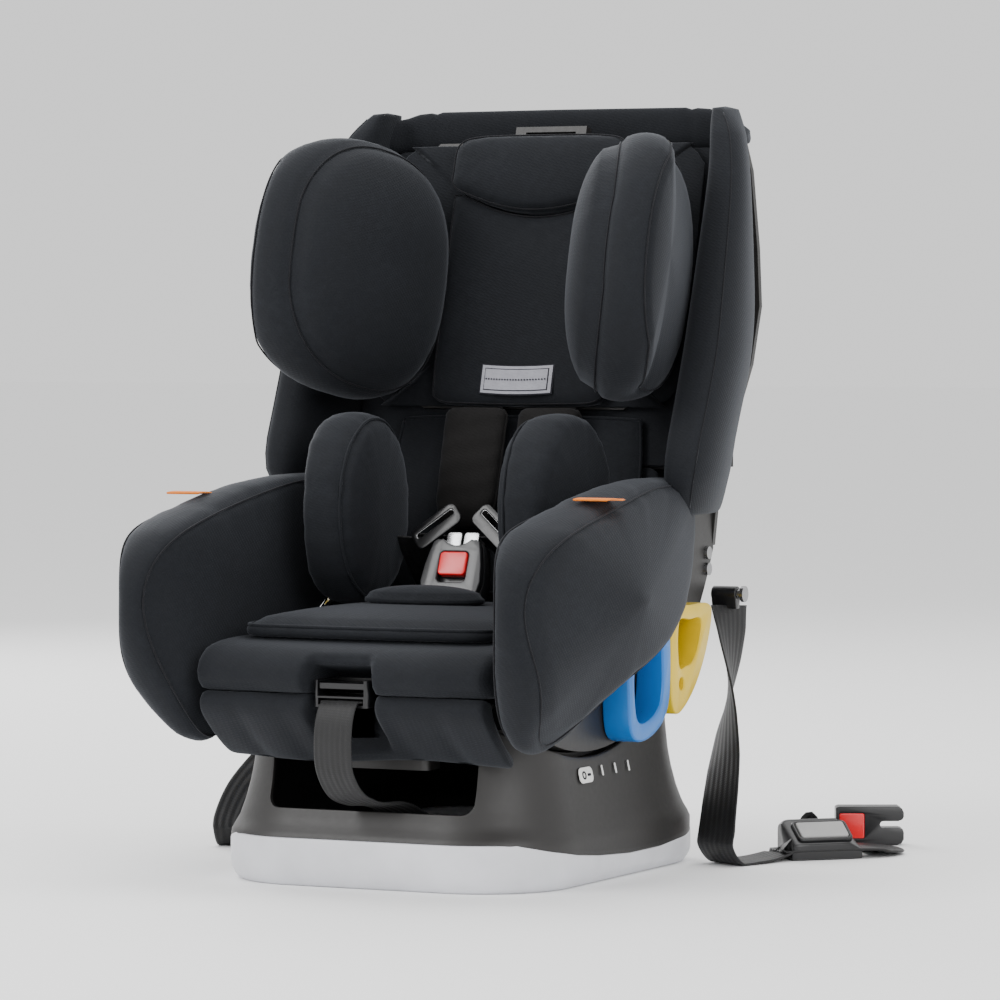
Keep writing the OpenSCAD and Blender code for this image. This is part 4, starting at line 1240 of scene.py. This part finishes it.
def adjuster(side_name, place, side):
    """The webbing adjuster: a rounded wedge with a framed sloping button, tapering at its far end."""
    section = [(-19, 2), (-18.4, 0.8), (-17, 0.4), (17, 0.4), (18.4, 0.8), (19, 2), (19.3, 18), (19, 28),
               (17.5, 31),
               (14, 32.7), (10.5, 32.6), (7, 30.6), (-16.5, 15.5), (-18.6, 13.5), (-19.2, 9)]
    base_shape = spline(section, 64)
    rings = []
    for x in [-32, -31.5, -30, -27.5, -24, -16, 0, 14, 20, 23, 26, 29, 31, 32.4, 33]:
        if x < 0:
            k = 1 - 0.14 * max(0.0, (-24 - x) / 8) ** 2
            low = 1 - 0.10 * max(0.0, (-24 - x) / 8) ** 2
        else:
            k = 1 - 0.10 * max(0.0, (x - 20) / 13) ** 1.5
            low = 1 - 0.46 * max(0.0, (x - 20) / 13) ** 1.1
        ring = base_shape.copy()
        ring[:, 0] *= k
        ring[:, 1] = 0.4 + (ring[:, 1] - 0.4) * low
        rings.append(np.column_stack([np.full(64, x), ring[:, 0] * side, ring[:, 1]]))
    rings = np.array(rings)
    verts, faces = ring_mesh(rings, (rings[0].mean(axis=0), rings[-1].mean(axis=0)))
    name = f"strap_adjuster_{side_name}"
    body = link(f"{name}_housing", verts, faces, GLOSS_BLACK, None)
    on_frame(body, place, "base", *(["strap_adjusters"] if side > 0 else []), slot="black_plastic")
    face = placed(0, -5 * side, 23, 33.0 * side, "X")
    frame_ring = extruded(f"{name}_button_frame", rounded_rect(51, 26.5, 5), -3.2, 2.6, "z", GLOSS_BLACK,
                          bevel=1.3, holes=[rounded_rect(44.8, 20.8, 3)])
    on_frame(frame_ring, place @ face, "base", slot="black_plastic")
    cap = extruded(f"{name}_button", rounded_rect(44, 20, 2.6), -1.5, 3.6, "z", GREY, bevel=1.2)
    on_frame(cap, place @ face, f"strap_button_{side_name}", f"strap_button_{side_name}",
             slot="button_grey")
    return [body, frame_ring, cap]


def connector(name, place, side_name):
    """The anchor connector: a flat case with a hooked jaw, a red release at its near end."""
    jaw_back = arc(12, 18, 3.1, 270, 90, 9)
    outline = [(-30, 3), (-28.5, 1), (-26, 0), (24, 0), (28, 1.5), (30, 5), (30, 11), (29, 14), (26, 14.9)]
    outline += jaw_back + [(25, 21.1), (28.6, 22.4), (30, 25), (30, 28.5), (28.5, 32), (25, 34), (-27, 34),
                           (-30, 33)]
    window = rounded_rect(22.4, 22.4, 1.2, -16, 17)
    front = extruded(f"{name}_case_front", outline, -11, -5.6, "y", GLOSS_BLACK, bevel=1.2, holes=[window])
    on_frame(front, place, "base", *(["anchor_connectors"] if side_name == "right" else []),
             slot="black_plastic")
    rear = extruded(f"{name}_case_rear", outline, -5.4, 11, "y", GLOSS_BLACK, bevel=1.6)
    on_frame(rear, place, "base", slot="black_plastic")
    bar = extruded(f"{name}_web_bar", rounded_rect(10, 3.4, 1.2, -26, 3.2), -12.2, -10.2, "y", CHROME,
                   bevel=0.5)
    on_frame(bar, place, "base", slot="steel")
    press = extruded(f"{name}_red_button", rounded_rect(22, 22, 1.6, -16, 17), -12.6, -9, "y", RED,
                     bevel=1.0)
    on_frame(press, place, f"connector_button_{side_name}", f"connector_button_{side_name}",
             slot="red_plastic")
    return [front, rear, bar, press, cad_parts[f"connector_latch_{side_name}"]]


# ---- Lower anchor straps ----

def anchor_strap(side, upper, floor_run, tail):
    """One side's strap: from the shell, through its adjuster on the floor, and on to its connector."""
    widths = (45, 45, 45, 45, 42, 37, 36, 36, 36, 36)
    web, path = strap(f"anchor_strap_{side}", upper + floor_run + tail, widths, HEAVY_THICKNESS, None,
                      steps=190)
    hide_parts("anchor_straps_upper", f"anchor_strap_lower_{side}")
    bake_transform(web)


def anchor_loop(side_name, side):
    """The black loop at a strap's upper end, which hangs on the steel bar in the shell."""
    outline = arc(207, 226, 6.6, -35, 215, 24) + [(203.5, 213), (210.5, 213)]
    hole = arc(207, 226, 4.2, 0, 345, 24)
    obj = extruded(f"anchor_loop_{side_name}", outline, 139.5, 162.5, "x", GLOSS_BLACK, bevel=0.8,
                   holes=[hole])
    if side < 0:
        moved(obj, Matrix.Scale(-1, 4, Vector((1, 0, 0))))
        tidy_normals(obj)
    on_frame(obj, Matrix.Identity(4), "seat", slot="black_plastic")


anchor_loop("right", 1)
anchor_loop("left", -1)
RIGHT_FITTINGS = (adjuster("right", placed(240, 205, 0.0, 45, "Z"), 1)
                  + connector("connector_right", placed(236, 330, 0.5, 26, "Z"), "right"))
LEFT_FITTINGS = (adjuster("left", placed(-288, 186, 0.0, 90, "Z"), -1)
                 + connector("connector_left", placed(-212, 268, 0.5, 0, "Z"), "left"))
anchor_strap("right", UPPER_RIGHT, FLOOR_RIGHT, TAIL_RIGHT)
anchor_strap("left", UPPER_LEFT, FLOOR_LEFT, TAIL_LEFT)


# ---- Tags sewn into the seams ----

def folded_tag(name, lo, hi, thickness, material, body, node=None):
    """A folded cloth tag: two leaves and a round fold, standing out of a seam."""
    (x0, y0, z0), (x1, y1, z1) = lo, hi
    rings = []
    for t in np.linspace(0, 1, 9):
        y = y0 + (y1 - y0) * t
        wave = 0.6 * math.sin(t * 5.0)
        half = thickness / 2
        loop = [(x0, -half), (x0 + 1, -half - 0.2), (x1 - 1.5, -half - 0.1), (x1, 0), (x1 - 1.5, half + 0.1),
                (x0 + 1, half + 0.2), (x0, half)]
        rings.append([(x, y, (z0 + z1) / 2 + z + wave) for x, z in loop])
    verts, faces = ring_mesh(rings)
    obj = link(name, verts, faces, material, body)
    if node:
        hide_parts(node)
    return obj


folded_tag("side_tag_right", (172, -150, 317), (203, -116, 321), 1.4, ORANGE, "seat", "cover_tags")
folded_tag("side_tag_left", (-203, -150, 317), (-172, -116, 321), 1.4, ORANGE, "seat")
folded_tag("insert_tag_left", (-101, -16, 379), (-86, -8, 383), 1.2, TEAL, "seat")


# ---- Carried-over CAD nodes ----

NODE_LOOKS = {
    "base_floor_plate": BASE, "base_screws": METAL, "recline_cradle": CAVITY, "seat_shell": SHELL,
    "shell_screws": METAL, "recline_handle": SHELL, "recline_lock_bar": METAL, "strap_anchor_bars": METAL,
    "seat_foam": FOAM, "back_foam": FOAM, "buckle_latch": METAL, "buckle_spring": METAL,
    "harness_yoke": METAL,
    "adjuster_housing": GLOSS_BLACK, "adjuster_lever": GLOSS_BLACK, "adjuster_pin": METAL,
    "headrest_shell": SHELL,
    "headrest_carriage": SHELL, "headrest_release": SHELL, "headrest_lock_bolt": METAL,
    "headrest_rack": METAL,
    "connector_latch_right": METAL, "connector_latch_left": METAL,
}
for node_name, look in NODE_LOOKS.items():
    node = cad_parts[node_name]
    node.data.materials.clear()
    node.data.materials.append(look)


# ---- Floor and light ----

def area_light(name, place, aim, size, power, colour=(1, 1, 1)):
    data = bpy.data.lights.new(name, "AREA")
    data.shape = "RECTANGLE"
    data.size, data.size_y = size
    data.energy = power
    data.color = colour
    lamp = bpy.data.objects.new(name, data)
    bpy.context.scene.collection.objects.link(lamp)
    lamp.location = place
    lamp.rotation_euler = (Vector(aim) - Vector(place)).to_track_quat("-Z", "Y").to_euler()


def floor():
    """A plain pale floor, wide enough for a view from any side."""
    mesh = bpy.data.meshes.new("floor")
    mesh.from_pydata([(-30, -30, 0), (30, -30, 0), (30, 30, 0), (-30, 30, 0)], [], [(0, 1, 2, 3)])
    obj = bpy.data.objects.new("floor", mesh)
    bpy.context.scene.collection.objects.link(obj)
    look = Nodes("floor_paint")
    look.set(Base_Color=(0.97, 0.97, 0.97, 1.0), Roughness=0.75, Specular_IOR_Level=0.2)
    obj.data.materials.append(look.mat)


floor()
area_light("key", (-1.8, -2.6, 2.4), (0, 0, 0.35), (1.8, 1.8), 75)
area_light("fill", (2.8, -2.0, 1.5), (0, 0, 0.3), (2.0, 2.0), 48)
area_light("top", (0.2, 0.3, 2.8), (0, 0, 0.3), (2.4, 2.4), 40)
area_light("rim", (-2.2, 1.8, 1.6), (0, 0, 0.35), (1.2, 1.6), 40)
world = bpy.data.worlds.new("studio")
bpy.context.scene.world = world
world.use_nodes = True
world.node_tree.nodes["Background"].inputs["Color"].default_value = (1, 1, 1, 1)
world.node_tree.nodes["Background"].inputs["Strength"].default_value = 1.1

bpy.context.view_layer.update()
